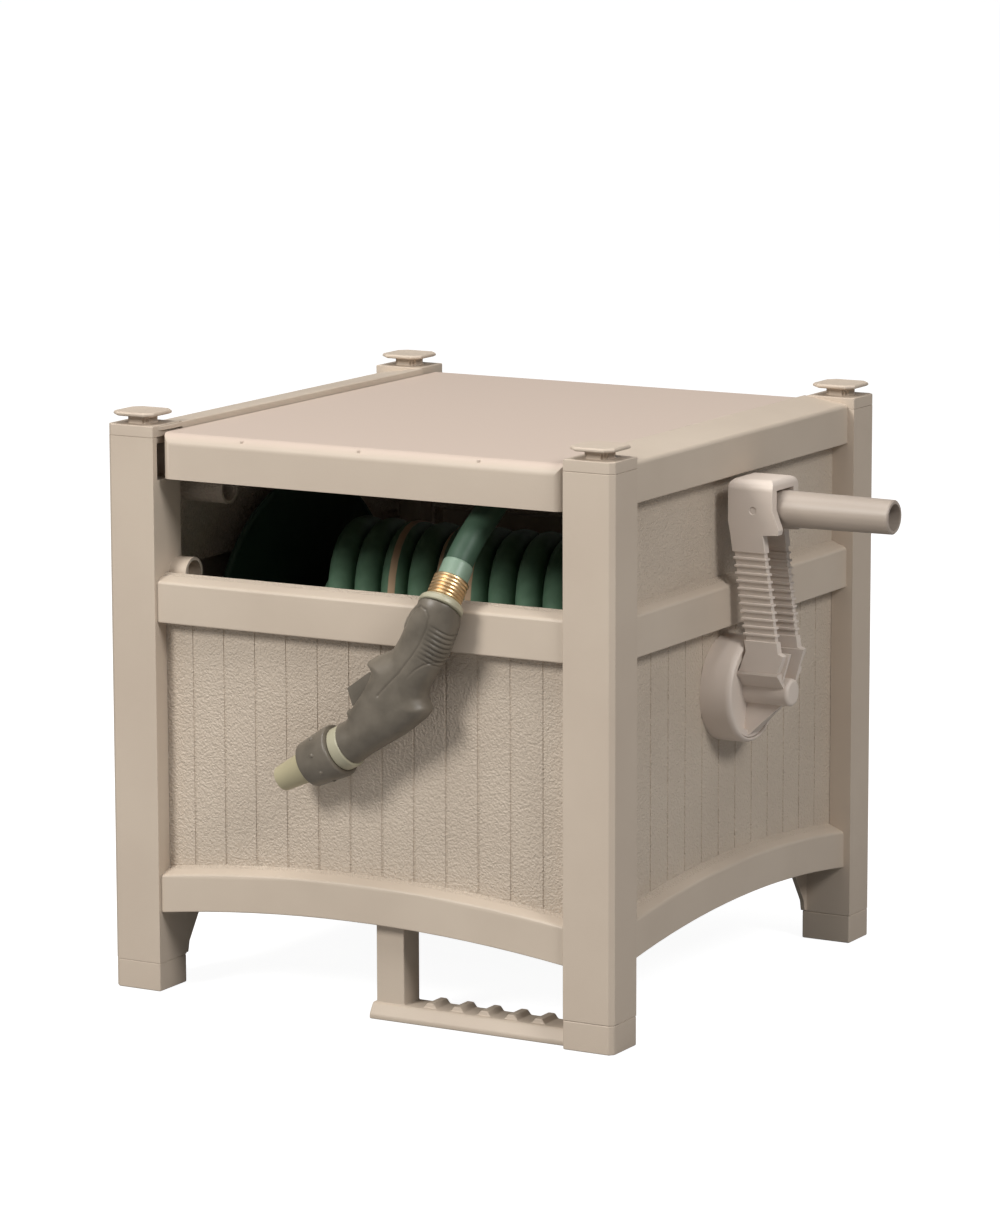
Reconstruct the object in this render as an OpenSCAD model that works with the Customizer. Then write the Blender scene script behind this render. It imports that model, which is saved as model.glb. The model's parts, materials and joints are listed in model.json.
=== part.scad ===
/* [Cabinet] */
// Width over the corner posts
cab_w = 470; // [440:2:520]
// Depth over the corner posts
cab_d = 468; // [450:2:520]
// Height to the top of the corner posts
cab_h = 472; // [460:1:500]
// Width of a corner post, side to side
post_w = 45; // [40:1:52]
// Depth of a corner post, front to back
post_d = 40; // [36:1:46]
// Bevel on the outer edge of each post
post_bevel = 4; // [2:0.5:7]
// Wall of the moulded shells
wall = 3; // [2.5:0.1:3.5]
// Height of the foot under each post
foot_h = 24; // [18:1:32]
// Height of the cap on each post
cap_h = 9.5; // [7:0.5:14]
// Width of the flat square plate above a cap
finial_w = 38; // [30:1:42]
// Play between a piece and the slot or socket that it is pushed into
fit = 0.3; // [0.2:0.05:0.5]

/* [Panels] */
// How far the front and rear rails lie behind the posts' outer faces
rail_setback = 3; // [2:0.5:6]
// How far the side rails lie behind the posts' outer faces
side_setback = 6; // [4:0.5:8]
// How far the rails stand out from the planked sheet
rail_depth = 14; // [10:0.5:18]
// Rise of the sloping ledge on top of a rail
ledge_rise = 5; // [3:0.5:8]
// Height of the outer face of the middle rail
mid_rail_h = 35; // [28:1:42]
// Height of the middle rail's lower edge above the floor
mid_rail_z = 310; // [300:1:318]
// Height of the outer face of the top rail
top_rail_h = 34; // [28:1:38]
// Gap between the lid and the top rail's ledge beside it
ledge_gap = 1; // [0.5:0.25:2]
// Height of the arched rail's outer face
arch_rail_h = 32; // [24:1:38]
// Height of the arch above the floor at the posts
arch_z = 66; // [56:1:74]
// Rise of the arch at its middle
arch_rise = 14; // [8:1:20]
// Width of one plank
plank_w = 29.8; // [24:0.1:40]
// Width of the groove between two planks
groove_w = 2.2; // [1.5:0.1:3]
// Depth of that groove
groove_deep = 1.2; // [0.8:0.1:1.6]
// Outer radius of the two moulded tubes behind the slot
tube_boss_r = 13; // [11:0.5:14]
// Length of the upper tube, on the left panel
upper_tube_l = 44; // [30:1:47]
// How far the upper tube lies behind the front of the posts
upper_tube_y = 84; // [78:1:92]
// How far the upper tube lies below the pocket of the post
upper_tube_drop = 15; // [14:1:20]
// How far the lower tube stands out of the left front post
lower_tube_l = 16; // [10:1:17]

/* [Lid] */
// Gap between the lid and the posts' inner faces, each side
lid_gap = 4; // [3:0.5:6]
// How far the lid's front lies behind the front of the posts
lid_setback = 6; // [4:1:12]
// How far the lid's top lies below the crest of the side rails
lid_drop = 5.5; // [4:0.5:8]
// Height of the lid's front face
fascia_h = 37.5; // [32:0.5:44]
// Radius of the lid's front top edge
lid_round = 10; // [6:1:14]
// Radius of the lid's two front corners, seen from above
lid_corner = 8; // [4:1:12]
// Height of the lid's side and rear skirts
skirt_h = 15; // [12:1:18]
// Radius of a lid hinge pin
lid_pin_r = 4; // [3:0.25:5]
// Length of a lid hinge pin
lid_pin_l = 30; // [26:1:34]
// Running clearance round a pin or a shaft
run_fit = 0.1; // [0.05:0.01:0.15]

/* [Drum] */
// How far the drum's axis lies in front of the middle of the cabinet
axis_forward = 5; // [0:1:15]
// Height of the drum's axis
axis_z = 257; // [250:1:262]
// Radius of the drum's flanges
flange_r = 147; // [142:1:150]
// Gap between a flange and the side sheet
flange_gap = 22; // [18:1:32]
// Radius of the drum's core
core_r = 45; // [36:1:60]
// Radius of the turning water tube
tube_r = 12; // [10:0.5:14]
// How far the water tube reaches into the drum's core
water_tube_in = 80; // [76:1:100]
// Place of the water tube's branch, from the same end of the core
branch_in = 60; // [40:1:62]
// How far the inlet elbow's bend lies outside the left sheet
elbow_out = 19; // [18:0.5:24]
// How far the inlet thread starts below the drum's axis
elbow_drop = 28; // [24:0.5:34]
// Radius of the inlet elbow's flange
elbow_flange_r = 26; // [24:0.5:28]
// Radius of the drive shaft
shaft_r = 14; // [12:0.5:16]
// How far the drive shaft reaches into the drum's core
shaft_in = 20; // [12:1:30]
// Radius of the male hose thread at the inlet
thread_r = 13.3; // [12:0.1:14]
// Length of that thread
thread_l = 16; // [12:1:20]

/* [Hose] */
// Outer diameter of the hose
hose_d = 23; // [18:0.5:24]
// Outer radius of the wound hose
wound_r = 114; // [105:1:116]
// Turns in the outer layer
wound_turns = 12.5; // [6:0.5:12.5]
// Distance from one turn to the next
wound_pitch = 24; // [24:0.1:25]

/* [Crank] */
// Outer radius of the round cup on the side
cup_r = 44; // [43:0.5:46]
// Depth of the cup
cup_deep = 28; // [24:1:30]
// Radius of the turning hub disc inside the cup
hub_r = 39.5; // [36:0.5:39.5]
// Radius of the boss in the middle of the hub
boss_r = 11.5; // [9:0.5:12]
// How far the boss stands out of the hub disc
boss_l = 37; // [34:1:38]
// Height of the shelves that carry the legs, above the drum's axis
shelf_up = 18; // [16:0.5:20]
// Distance from the drum's axis to the grip's pivot
crank_r = 151; // [150:1:156]
// Distance from the arm's flat back to the grip's pivot
pivot_out = 22.3; // [20:0.1:24]
// Thickness of a leg at the head
leg_t = 8.4; // [7:0.1:10]
// Thickness of a leg at its foot
leg_foot_t = 7; // [6:0.1:8]
// Width of the head, seen along the pivot
head_w = 40; // [36:1:44]
// Width of a leg, seen along the pivot
leg_w = 29.5; // [26:0.5:32]
// How much further the foot of a leg stands out than its top
leg_lean = 13.5; // [10:0.5:14]
// Number of fine ribs round each leg
leg_ribs = 13; // [6:1:13]
// Distance from one rib to the next
rib_pitch = 6.2; // [5:0.1:6.2]
// Height of one rib
rib_h = 2; // [1.5:0.1:3]
// How far the ribs stand out of the leg
rib_out = 1.2; // [0.6:0.1:1.6]
// Diameter of the grip at its root
grip_d = 30; // [28:0.5:31]
// Diameter of the grip at its open end
grip_end_d = 28; // [26:0.5:28]
// Length of the grip from its pivot to its open end
grip_l = 115; // [90:1:115]
// Radius of the grip's pivot pin
grip_pin_r = 3; // [2.5:0.25:4]

/* [Foot step] */
// Width of the step's leg
step_leg_w = 26; // [20:1:32]
// Front to back size of the step's leg
step_leg_d = 25; // [20:1:28]
// Left face of the step's leg, from the middle of the cabinet
step_x = 9; // [0:1:20]
// Thickness of the tread
tread_t = 13; // [10:1:16]
// Distance between the ridges on the tread
ridge_pitch = 25; // [20:1:30]

/* [Nozzle] */
// Height of the ring where the nozzle starts
nozzle_z = 351; // [345:1:356]
// Place of that ring, sideways
nozzle_x = 89; // [60:1:110]
// Thickness of the nozzle's body, front to back
nozzle_t = 36; // [30:1:38]
// Angle of the barrel below the horizontal
barrel_angle = 28; // [20:1:36]
// Outer radius of the twist collar
collar_r = 22; // [20:0.5:24]
// Length of the twist collar
collar_l = 32; // [26:1:36]

/* [Hidden] */

half_w = cab_w / 2;
half_d = cab_d / 2;
in_x = half_w - post_w;
in_y = half_d - post_d;
cap_z = cab_h - cap_h;
sheet_t = wall;
rail_in = rail_depth + sheet_t;
tongue = 6;
rail_x = half_w - side_setback;
rail_y = half_d - rail_setback;
sheet_x = rail_x - rail_depth;
sheet_y = rail_y - rail_depth;
arch_half = max(in_x, in_y);
arch_r = (arch_half * arch_half + arch_rise * arch_rise) / (2 * arch_rise);
arch_cz = arch_z + arch_rise - arch_r;
arch_crest = arch_rail_h + ledge_rise;
mid_top = mid_rail_z + mid_rail_h + ledge_rise;
top_rail_z = cab_h - top_rail_h - ledge_rise;
rear_rail_z = cab_h - 84;
lid_x = in_x - lid_gap;
top_ledge_w = rail_x - lid_x - ledge_gap;
lid_front = -half_d + lid_setback;
lid_rear = in_y + 24;
lid_top = cab_h - lid_drop;
lid_low = lid_top - fascia_h;
hinge_y = lid_rear - 8;
hinge_z = lid_top - 19;
ax_y = -axis_forward;
flange_x = sheet_x - sheet_t - flange_gap;
flange_t = 3;
drum_in = flange_x - flange_t;
cup_x = sheet_x;
disc_x = cup_x + cup_deep - 1.5;
rim_t = 7;
hose_r = hose_d / 2;
helix_r = wound_r - hose_r;
pack_r = helix_r - hose_r * cos(30) - 0.6;
pivot_z = axis_z + crank_r;
arm_x = rail_x + 0.5;
pivot_x = arm_x + pivot_out;
ns = 48;

resin = [0.74, 0.69, 0.62];
resin_dark = [0.6, 0.55, 0.5];
lid_tan = [0.82, 0.75, 0.69];
drum_green = [0.08, 0.14, 0.11];
hose_green = [0.27, 0.43, 0.33];
steel = [0.7, 0.7, 0.7];
brass = [0.78, 0.6, 0.3];
cream = [0.8, 0.8, 0.64];
rubber = [0.35, 0.33, 0.31];

// A point on a circle, and a run of points along an arc
function polar(c, r, a) = [c[0] + r * cos(a), c[1] + r * sin(a)];
function arc(c, r, a0, a1, n) = [for (i = [0:n]) polar(c, r, a0 + (a1 - a0) * i / n)];
function lerp(a, b, t) = a + (b - a) * t;

module at_corner(sx, sy) mirror([sx < 0 ? 1 : 0, 0, 0]) mirror([0, sy > 0 ? 1 : 0, 0]) children();
module along_x(x0, x1) translate([x0, 0, 0]) rotate([90, 0, 90]) linear_extrude(x1 - x0) children();
module axle(r, x0, x1) translate([x0, ax_y, axis_z]) rotate([0, 90, 0]) cylinder(r = r, h = x1 - x0, $fn = ns);
module turned(x0) translate([x0, ax_y, axis_z]) rotate([0, 90, 0]) rotate_extrude($fn = ns) children();

// Corner posts, modelled for the front right corner and mirrored
function post_outline(i) =
    let (c = post_bevel - 0.59 * i, x1 = half_w - i, y0 = -half_d + i)
    [[in_x + i, y0], [x1 - c, y0], [x1, y0 + c], [x1, -in_y - i], [in_x + i, -in_y - i]];

module post_prism(i, z0, z1) translate([0, 0, z0]) linear_extrude(z1 - z0) polygon(post_outline(i));

pocket_z = lid_low - 2;
slot_w = sheet_t + 2 * fit;
slot_z = arch_z + arch_rail_h;

// Slots for the tongues of the two panels that meet at a post
module post_slots() {
    translate([in_x - 1, -sheet_y - fit, slot_z]) cube([wall + 2, slot_w, mid_top - slot_z]);
    translate([sheet_x - sheet_t - fit, -in_y - wall - 1, slot_z]) cube([slot_w, wall + 2, mid_top - slot_z]);
}

// Gusset beside the arch of the side panel
module post_knee() translate([in_x, 0, 0]) along_x(0, 4)
    polygon([[-in_y - 1, foot_h + 1], [-in_y + 3, foot_h + 1], [-in_y + 5, foot_h + 10],
        [-in_y + 24, arch_z - 4], [-in_y + 24, arch_z + 30], [-in_y - 1, arch_z + 30]]);

// The front posts have an open pocket beside the lid
module front_post() difference() {
    union() {
        post_prism(0, foot_h, cap_z);
        post_knee();
    }
    post_prism(wall, foot_h - 1, pocket_z - wall);
    post_prism(wall, pocket_z, cap_z + 1);
    translate([in_x - 1, -half_d + 2 * wall, pocket_z]) cube([wall + 2, post_d - 3.5 * wall, cap_z - pocket_z + 1]);
    post_slots();
}

// The rear posts carry the lid's hinge pins
module rear_post() difference() {
    union() {
        difference() {
            union() {
                post_prism(0, foot_h, cap_z);
                post_knee();
            }
            post_prism(wall, foot_h - 1, cap_z + 1);
        }
        translate([in_x + 1, -hinge_y, hinge_z]) rotate([0, 90, 0]) cylinder(r = lid_pin_r + 3.5, h = 10, $fn = ns);
    }
    translate([in_x - 1, -hinge_y, hinge_z]) rotate([0, 90, 0]) cylinder(r = lid_pin_r + 0.05, h = 30, $fn = ns);
    post_slots();
}

// A short moulded tube that points to the right
module tube_boss(x0, x1, y, z) translate([x0, y, z]) rotate([0, 90, 0]) difference() {
    cylinder(r = tube_boss_r, h = x1 - x0, $fn = ns);
    translate([0, 0, 5]) cylinder(r = tube_boss_r - 2.5, h = x1 - x0, $fn = ns);
}

module post_front_left() color(resin) {
    at_corner(-1, -1) front_post();
    tube_boss(-in_x - 1, -in_x + lower_tube_l, -in_y - 5.5, mid_top - 2);
}

module post_front_right() color(resin) at_corner(1, -1) front_post();
module post_rear_left() color(resin) at_corner(-1, 1) rear_post();
module post_rear_right() color(resin) at_corner(1, 1) rear_post();

// Post cap with its ribbed stem and flat plate
module plate_outline(w) {
    h = w / 2;
    c = 0.17 * w;
    polygon([[-h, -h + c], [-h + c, -h], [h - c, -h], [h, -h + c], [h, h - c], [h - c, h], [-h + c, h], [-h, h - c]]);
}

module cap() {
    post_prism(0, cap_z, cab_h);
    post_prism(wall + fit, cap_z - 6, cap_z + 1);
    translate([half_w - post_w / 2, -half_d + post_d / 2, cab_h - 0.5]) {
        linear_extrude(7.5) union() {
            square([18, 11], center = true);
            square([11, 18], center = true);
            square([14.5, 14.5], center = true);
        }
        translate([0, 0, 7]) hull() {
            linear_extrude(0.4) plate_outline(finial_w - 7);
            translate([0, 0, 2.6]) linear_extrude(1.4) plate_outline(finial_w);
            translate([0, 0, 6.6]) linear_extrude(0.4) plate_outline(finial_w - 5);
        }
    }
}

module cap_front_left() color(resin) at_corner(-1, -1) cap();
module cap_front_right() color(resin) at_corner(1, -1) cap();
module cap_rear_left() color(resin) at_corner(-1, 1) cap();
module cap_rear_right() color(resin) at_corner(1, 1) cap();

module foot() {
    post_prism(0, 0, foot_h);
    post_prism(wall + fit, foot_h - 1, foot_h + 12);
}

module foot_front_left() color(resin) at_corner(-1, -1) foot();
module foot_front_right() color(resin) at_corner(1, -1) foot();
module foot_rear_left() color(resin) at_corner(-1, 1) foot();
module foot_rear_right() color(resin) at_corner(1, 1) foot();

// Panels are drawn facing the front: X along the panel, Y inwards from the rails' outer face, Z up.
// A rail is a hat section, open to the inside: [depth, height] from its lower outer edge.
function rail_outer(h, deep, rise) = concat(
    [[deep, 0]], arc([1.5, 1.5], 1.5, 270, 180, 2), arc([3, h - 3], 3, 180, 110, 4),
    arc([deep - 2, h + rise - 2], 2, 110, 0, 4));
function rail_shape(h, deep, rise) = concat(rail_outer(h, deep, rise),
    [[deep, h + rise - wall - 1], [deep - sheet_t, h + rise - wall - 1]],
    [[wall, h - wall], [wall, wall], [deep, wall]]);

module straight_rail(len, z, h) translate([0, 0, z]) {
    along_x(-len / 2, len / 2) polygon(rail_shape(h, rail_in, ledge_rise));
    for (x0 = [-len / 2, len / 2 - wall]) along_x(x0, x0 + wall) polygon(rail_outer(h, rail_in, ledge_rise));
}

// The arched rail is the same section turned about a far centre under the floor
module arch_sweep(shape) {
    span = 2 * asin(arch_half / arch_r) + 2;
    translate([0, 0, arch_cz]) rotate([90, 0, 0]) rotate([0, 0, 90 - span / 2])
        rotate_extrude(angle = span, $fn = 180) polygon([for (p = shape) [arch_r + p[1], -p[0]]]);
}

module arch_rail(len) {
    intersection() {
        arch_sweep(rail_shape(arch_rail_h, rail_in, ledge_rise));
        translate([-len / 2, -1, 0]) cube([len, rail_in + 2, mid_rail_z]);
    }
    for (x0 = [-len / 2, len / 2 - wall]) intersection() {
        arch_sweep(rail_outer(arch_rail_h, rail_in, ledge_rise));
        translate([x0, -1, 0]) cube([wall, rail_in + 2, mid_rail_z]);
    }
}

// Planked sheet from the arch to the middle rail, with tongues that enter the posts
module planks(len) {
    count = floor((len - 2 * groove_w) / (2 * plank_w));
    tongue_z = slot_z + fit;
    difference() {
        union() {
            translate([0, rail_in, 0]) rotate([90, 0, 0]) linear_extrude(sheet_t) difference() {
                translate([-len / 2, 0]) square([len, mid_rail_z + wall / 2]);
                translate([0, arch_cz]) circle(r = arch_r + arch_crest - wall / 2, $fn = 180);
            }
            for (s = [-1, 1]) translate([s > 0 ? len / 2 - 1 : -len / 2 - tongue, rail_depth, tongue_z])
                cube([tongue + 1, sheet_t, mid_rail_z - tongue_z]);
        }
        for (i = [-count:count - 1]) translate([(i + 0.5) * plank_w - groove_w / 2, rail_depth - 1, arch_z])
            cube([groove_w, 1 + groove_deep, mid_rail_z - arch_z]);
    }
}

module front_panel() color(resin) translate([0, -rail_y, 0]) {
    planks(2 * in_x);
    arch_rail(2 * in_x);
    straight_rail(2 * in_x, mid_rail_z, mid_rail_h);
}

module plain_sheet(len, z1) translate([-len / 2, rail_depth, mid_top - 2.5]) cube([len, sheet_t, z1 - mid_top + 2.5]);

module rear_panel() color(resin) rotate([0, 0, 180]) translate([0, -rail_y, 0]) {
    planks(2 * in_x);
    arch_rail(2 * in_x);
    straight_rail(2 * in_x, mid_rail_z, mid_rail_h);
    plain_sheet(2 * in_x, rear_rail_z + wall / 2);
    straight_rail(2 * in_x, rear_rail_z, mid_rail_h);
}

// The top rail of a side panel has a wide sloping ledge and an inner lip beside the lid
lip_h = 24;
top_crest = top_rail_h + ledge_rise;
rest_top = lid_top - skirt_h - top_rail_z;
rest_end = rail_x - lid_x + 2;

function top_outer() = concat([[rail_in, 0]], arc([1.5, 1.5], 1.5, 270, 180, 2),
    arc([4, top_rail_h - 4], 4, 180, 100, 5), arc([top_ledge_w - 1.5, top_crest - 1.5], 1.5, 100, 0, 3));

module top_rail(len, side) translate([0, 0, top_rail_z]) {
    along_x(-len / 2, len / 2) polygon(concat(top_outer(),
        [[top_ledge_w, top_crest - lip_h], [top_ledge_w - wall, top_crest - lip_h],
            [top_ledge_w - wall, top_crest - wall - 1]],
        [[wall, top_rail_h - wall], [wall, wall], [rail_in, wall]]));
    for (x0 = [-len / 2, len / 2 - wall]) along_x(x0, x0 + wall)
        polygon(concat(top_outer(), [[top_ledge_w, top_crest - lip_h], [top_ledge_w - wall, top_crest - lip_h]]));
    // Lid rest near the front
    translate([-side * (len / 2 - 20) - 10, top_ledge_w - 1, top_crest - lip_h])
        cube([20, rest_end - top_ledge_w + 1, rest_top - top_crest + lip_h]);
    // The curved end that reaches over the pocket of the front post
    translate([0, 0, top_crest - wall - 1]) linear_extrude(wall) polygon(concat(
        [[-side * (len / 2 - 2), top_ledge_w - wall], [-side * (len / 2 - 2), top_ledge_w]],
        [for (i = [0:6]) [-side * (len / 2 + 10 + 22 * sin(15 * i)), top_ledge_w - wall + wall * cos(15 * i)]]));
}

// Side panel: planks below, a plain sheet above, and a round hole for the drum's bearing
module side_panel(bore_r, side) {
    len = 2 * in_y;
    difference() {
        union() {
            planks(len);
            arch_rail(len);
            straight_rail(len, mid_rail_z, mid_rail_h);
            plain_sheet(len, top_rail_z + wall / 2);
            top_rail(len, side);
        }
        translate([side * ax_y, 0, axis_z]) rotate([-90, 0, 0]) cylinder(r = bore_r, h = 40, $fn = ns);
    }
}

module right_panel() color(resin) rotate([0, 0, 90]) translate([0, -rail_x, 0]) side_panel(shaft_r + 4.05, 1);

// The left panel also carries a moulded tube behind the slot
module left_panel() color(resin) {
    rotate([0, 0, -90]) translate([0, -rail_x, 0]) side_panel(tube_r + 4.05, -1);
    tube_boss(-sheet_x + 1, -sheet_x + 1 + upper_tube_l, -half_d + upper_tube_y, pocket_z - upper_tube_drop);
}

// Lid shell, with ribs and hinge ears underneath
ear_r = lid_pin_r + 4;
ear_w = 12;

module lid_plan() polygon(concat([[lid_x, lid_rear], [-lid_x, lid_rear]],
    arc([-lid_x + lid_corner, lid_front + lid_corner], lid_corner, 180, 270, 5),
    arc([lid_x - lid_corner, lid_front + lid_corner], lid_corner, 270, 360, 5)));

function lid_skin() = concat([[lid_front + wall, lid_low], [lid_front, lid_low]],
    arc([lid_front + lid_round, lid_top - lid_round], lid_round, 180, 90, 6),
    arc([lid_rear - wall, lid_top - wall], wall, 90, 0, 3),
    [[lid_rear, lid_top - skirt_h], [lid_rear - wall, lid_top - skirt_h], [lid_rear - wall, lid_top - wall]],
    arc([lid_front + lid_round, lid_top - lid_round], lid_round - wall, 90, 180, 6));

function lid_side() = concat([[lid_front + 12, lid_low], [lid_front + 1, lid_low]],
    arc([lid_front + lid_round, lid_top - lid_round], lid_round - 1, 180, 90, 6),
    [[lid_rear - 1, lid_top - 1], [lid_rear - 1, lid_top - skirt_h], [lid_front + 26, lid_top - skirt_h]]);

module lid_ear() {
    rotate([0, 90, 0]) cylinder(r = ear_r, h = ear_w, $fn = ns);
    translate([0, -ear_r, 0]) cube([ear_w, 2 * ear_r - 0.5, lid_top - hinge_z - 1]);
}

module lid() color(lid_tan) difference() {
    union() {
        intersection() {
            union() {
                along_x(-lid_x, lid_x) polygon(lid_skin());
                for (x0 = [-lid_x, lid_x - wall]) along_x(x0, x0 + wall) polygon(lid_side());
            }
            translate([0, 0, lid_low - 1]) linear_extrude(fascia_h + 2) lid_plan();
        }
        for (x0 = [-lid_x + 1, lid_x - ear_w - 1]) translate([x0, hinge_y, hinge_z]) lid_ear();
        for (x = [-110, 0, 110]) translate([x - 1.2, lid_front + 2, lid_top - 9])
            cube([2.4, lid_rear - lid_front - 4, 7]);
        for (y = [-110, 0, 110]) translate([-lid_x + 2, y - 1.2, lid_top - 8]) cube([2 * lid_x - 4, 2.4, 6]);
    }
    for (x0 = [-lid_x - 2, lid_x - ear_w - 4]) translate([x0, hinge_y, hinge_z]) rotate([0, 90, 0])
        cylinder(r = lid_pin_r + run_fit, h = ear_w + 6, $fn = ns);
}

module hinge_pin(x0) translate([x0, hinge_y, hinge_z]) rotate([0, 90, 0])
    cylinder(r = lid_pin_r, h = lid_pin_l, $fn = ns);
module hinge_pin_left() color(steel) hinge_pin(-lid_x + ear_w + 1 - lid_pin_l);
module hinge_pin_right() color(steel) hinge_pin(lid_x - ear_w - 1);

// Foot step: a leg behind the arched rail, a ridged tread on the floor, and a plate beside the right post
step_y = -sheet_y + sheet_t;
plate_t = 6;

module foot_step() color(resin) {
    intersection() {
        translate([step_x, step_y - 4, 0]) cube([step_leg_w, step_leg_d, arch_z + arch_rise + 1]);
        translate([0, 0, arch_cz]) rotate([90, 0, 0]) cylinder(r = arch_r - run_fit, h = cab_d, $fn = 180);
    }
    translate([step_x, step_y, tread_t]) cube([step_leg_w, plate_t, arch_z + 60]);
    translate([in_x - 8, step_y - 4, 0]) cube([8, step_leg_d, arch_z - 6]);
    along_x(step_x - 3, in_x) polygon([[step_y + 21, 0], [step_y - 11, 0], [step_y - 11, 4],
        [step_y - 6, tread_t - 1], [step_y - 4, tread_t], [step_y + 21, tread_t]]);
    for (i = [0:4]) translate([step_x + step_leg_w + 23 + i * ridge_pitch, step_y + 21, tread_t - 1])
        rotate([90, 0, 0]) linear_extrude(23) polygon([[-7, 0], [-3, 5], [3, 5], [7, 0]]);
}

module step_screws() color(steel) for (z = [arch_z + 42, arch_z + 62])
    translate([step_x + step_leg_w / 2, step_y + plate_t, z]) rotate([-90, 0, 0]) cylinder(r = 4, h = 2.4, $fn = 24);

// Round cup on the right side, with the bearings in both side panels
cup_bore = hub_r + 0.7;
cup_soft = cup_r - cup_bore - 0.8;
cup_screw_ring = hub_r - 7.5;

module crank_cup() color(resin_dark) turned(cup_x) polygon(concat([[shaft_r + 10.3, 0], [cup_r, 0]],
    [for (i = [0:5]) [cup_r - cup_soft * (1 - cos(18 * i)), cup_deep - 2 * cup_soft * (1 - sin(18 * i))]],
    [[cup_bore + 0.5, cup_deep], [cup_bore, cup_deep - 0.6], [cup_bore, wall], [shaft_r + 10.3, wall]]));

module cup_screws() color(steel) for (a = [45:90:315])
    translate([cup_x + wall, ax_y + cup_screw_ring * cos(a), axis_z + cup_screw_ring * sin(a)]) rotate([0, 90, 0])
        cylinder(r = 3.5, h = 2.2, $fn = 24);

module right_bearing() color(resin_dark) turned(cup_x) polygon([[shaft_r + run_fit, -6], [shaft_r + 4, -6],
    [shaft_r + 4, 0], [shaft_r + 10, 0], [shaft_r + 10, wall], [shaft_r + run_fit, wall]]);

module left_bearing() color(resin_dark) turned(-sheet_x) polygon([[tube_r + run_fit, 0], [tube_r + 4, 0],
    [tube_r + 4, sheet_t], [tube_r + 9, sheet_t], [tube_r + 9, 2 * sheet_t], [tube_r + run_fit, 2 * sheet_t]]);

// Inlet elbow outside the left panel, with a male hose thread pointing down
elbow_x = -sheet_x - elbow_out;
thread_z = axis_z - elbow_drop;

module inlet_elbow() color(brass) difference() {
    union() {
        axle(tube_r + 4.5, elbow_x, -sheet_x);
        axle(elbow_flange_r, -sheet_x - wall, -sheet_x);
        translate([elbow_x, ax_y, axis_z]) sphere(r = tube_r + 4.5, $fn = ns);
        translate([elbow_x, ax_y, thread_z]) cylinder(r = thread_r + 2.5, h = axis_z - thread_z, $fn = ns);
        translate([elbow_x, ax_y, thread_z - thread_l]) cylinder(r = thread_r, h = thread_l + 1, $fn = ns);
    }
    axle(tube_r + run_fit, elbow_x + 3, -sheet_x + 1);
    axle(tube_r + 2.4, -sheet_x - 8, -sheet_x - 4.5);
    translate([elbow_x, ax_y, thread_z - thread_l - 1])
        cylinder(r = 8.5, h = axis_z - thread_z + thread_l + 1, $fn = ns);
}

module inlet_seal() color([0.1, 0.1, 0.1]) difference() {
    axle(tube_r + 2.3, -sheet_x - 7.9, -sheet_x - 4.6);
    axle(tube_r + run_fit, -sheet_x - 9, -sheet_x - 3);
}

// Drum: core, two ribbed flanges, screws, shafts and the wound hose
screw_ring = core_r - wall - 3;
hub_in = 8;
hub_out = 14;

module around_drum(x, first) for (a = [first:60:first + 300])
    translate([x, ax_y, axis_z]) rotate([a, 0, 0]) children();

module drum_core() color(drum_green) difference() {
    union() {
        difference() {
            axle(core_r, -drum_in, drum_in);
            axle(core_r - wall, -drum_in - 1, drum_in + 1);
        }
        around_drum(-drum_in, 30) translate([0, 0, screw_ring]) rotate([0, 90, 0])
            cylinder(r = 5, h = 2 * drum_in, $fn = 24);
    }
    around_drum(-drum_in - 1, 30) translate([0, 0, screw_ring]) rotate([0, 90, 0])
        cylinder(r = 2.05, h = 2 * drum_in + 2, $fn = 24);
    translate([-drum_in + branch_in, ax_y, axis_z - core_r - 1]) cylinder(r = tube_r - 1.7, h = core_r, $fn = ns);
}

// Drawn with its inner face at x = 0 and the outside towards +X
module flange(bore_r) difference() {
    union() {
        turned(0) polygon(concat([[bore_r, -hub_in], [bore_r + 5, -hub_in], [bore_r + 5, 0], [flange_r - 4, 0]],
            arc([flange_r - 3, flange_t / 2], 3, -90, 90, 6),
            [[flange_r - 4, flange_t], [bore_r + 6, flange_t], [bore_r + 6, hub_out], [bore_r, hub_out]]));
        around_drum(1, 0) translate([0, -1.5, bore_r + 3]) cube([9, 3, flange_r - bore_r - 7]);
    }
    around_drum(-hub_in, 30) translate([0, 0, screw_ring]) rotate([0, 90, 0])
        cylinder(r = 2.6, h = hub_in + hub_out, $fn = 24);
}

module right_flange() color(drum_green) translate([drum_in, 0, 0]) flange(shaft_r + 0.05);
module left_flange() color(drum_green) translate([-drum_in, 0, 0]) mirror([1, 0, 0]) flange(tube_r + 0.05);

module flange_screws() color(steel) for (s = [-1, 1]) around_drum(s * (drum_in + flange_t), 30)
    translate([0, 0, screw_ring]) rotate([0, 90 * s, 0]) {
        cylinder(r = 4.5, h = 2.5, $fn = 24);
        translate([0, 0, -15]) cylinder(r = 2, h = 16, $fn = 24);
    }

// Rings of points along a path: each is square to the direction there
function unit(v) = v / norm(v);
function ring(p, d, r, n) = let (u = unit(cross(d, [1, 0, 0])), v = cross(d, u))
    [for (j = [0:n - 1]) let (a = 360 * (j + 0.5) / n) p + r * (cos(a) * u + sin(a) * v)];
function tube_faces(rings, n) = concat(
    [[for (j = [0:n - 1]) j]],
    [for (i = [0:rings - 2]) for (j = [0:n - 1]) each [
        [i * n + j, (i + 1) * n + j, (i + 1) * n + (j + 1) % n],
        [i * n + j, (i + 1) * n + (j + 1) % n, i * n + (j + 1) % n]]],
    [[for (j = [n - 1:-1:0]) (rings - 1) * n + j]]);

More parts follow.
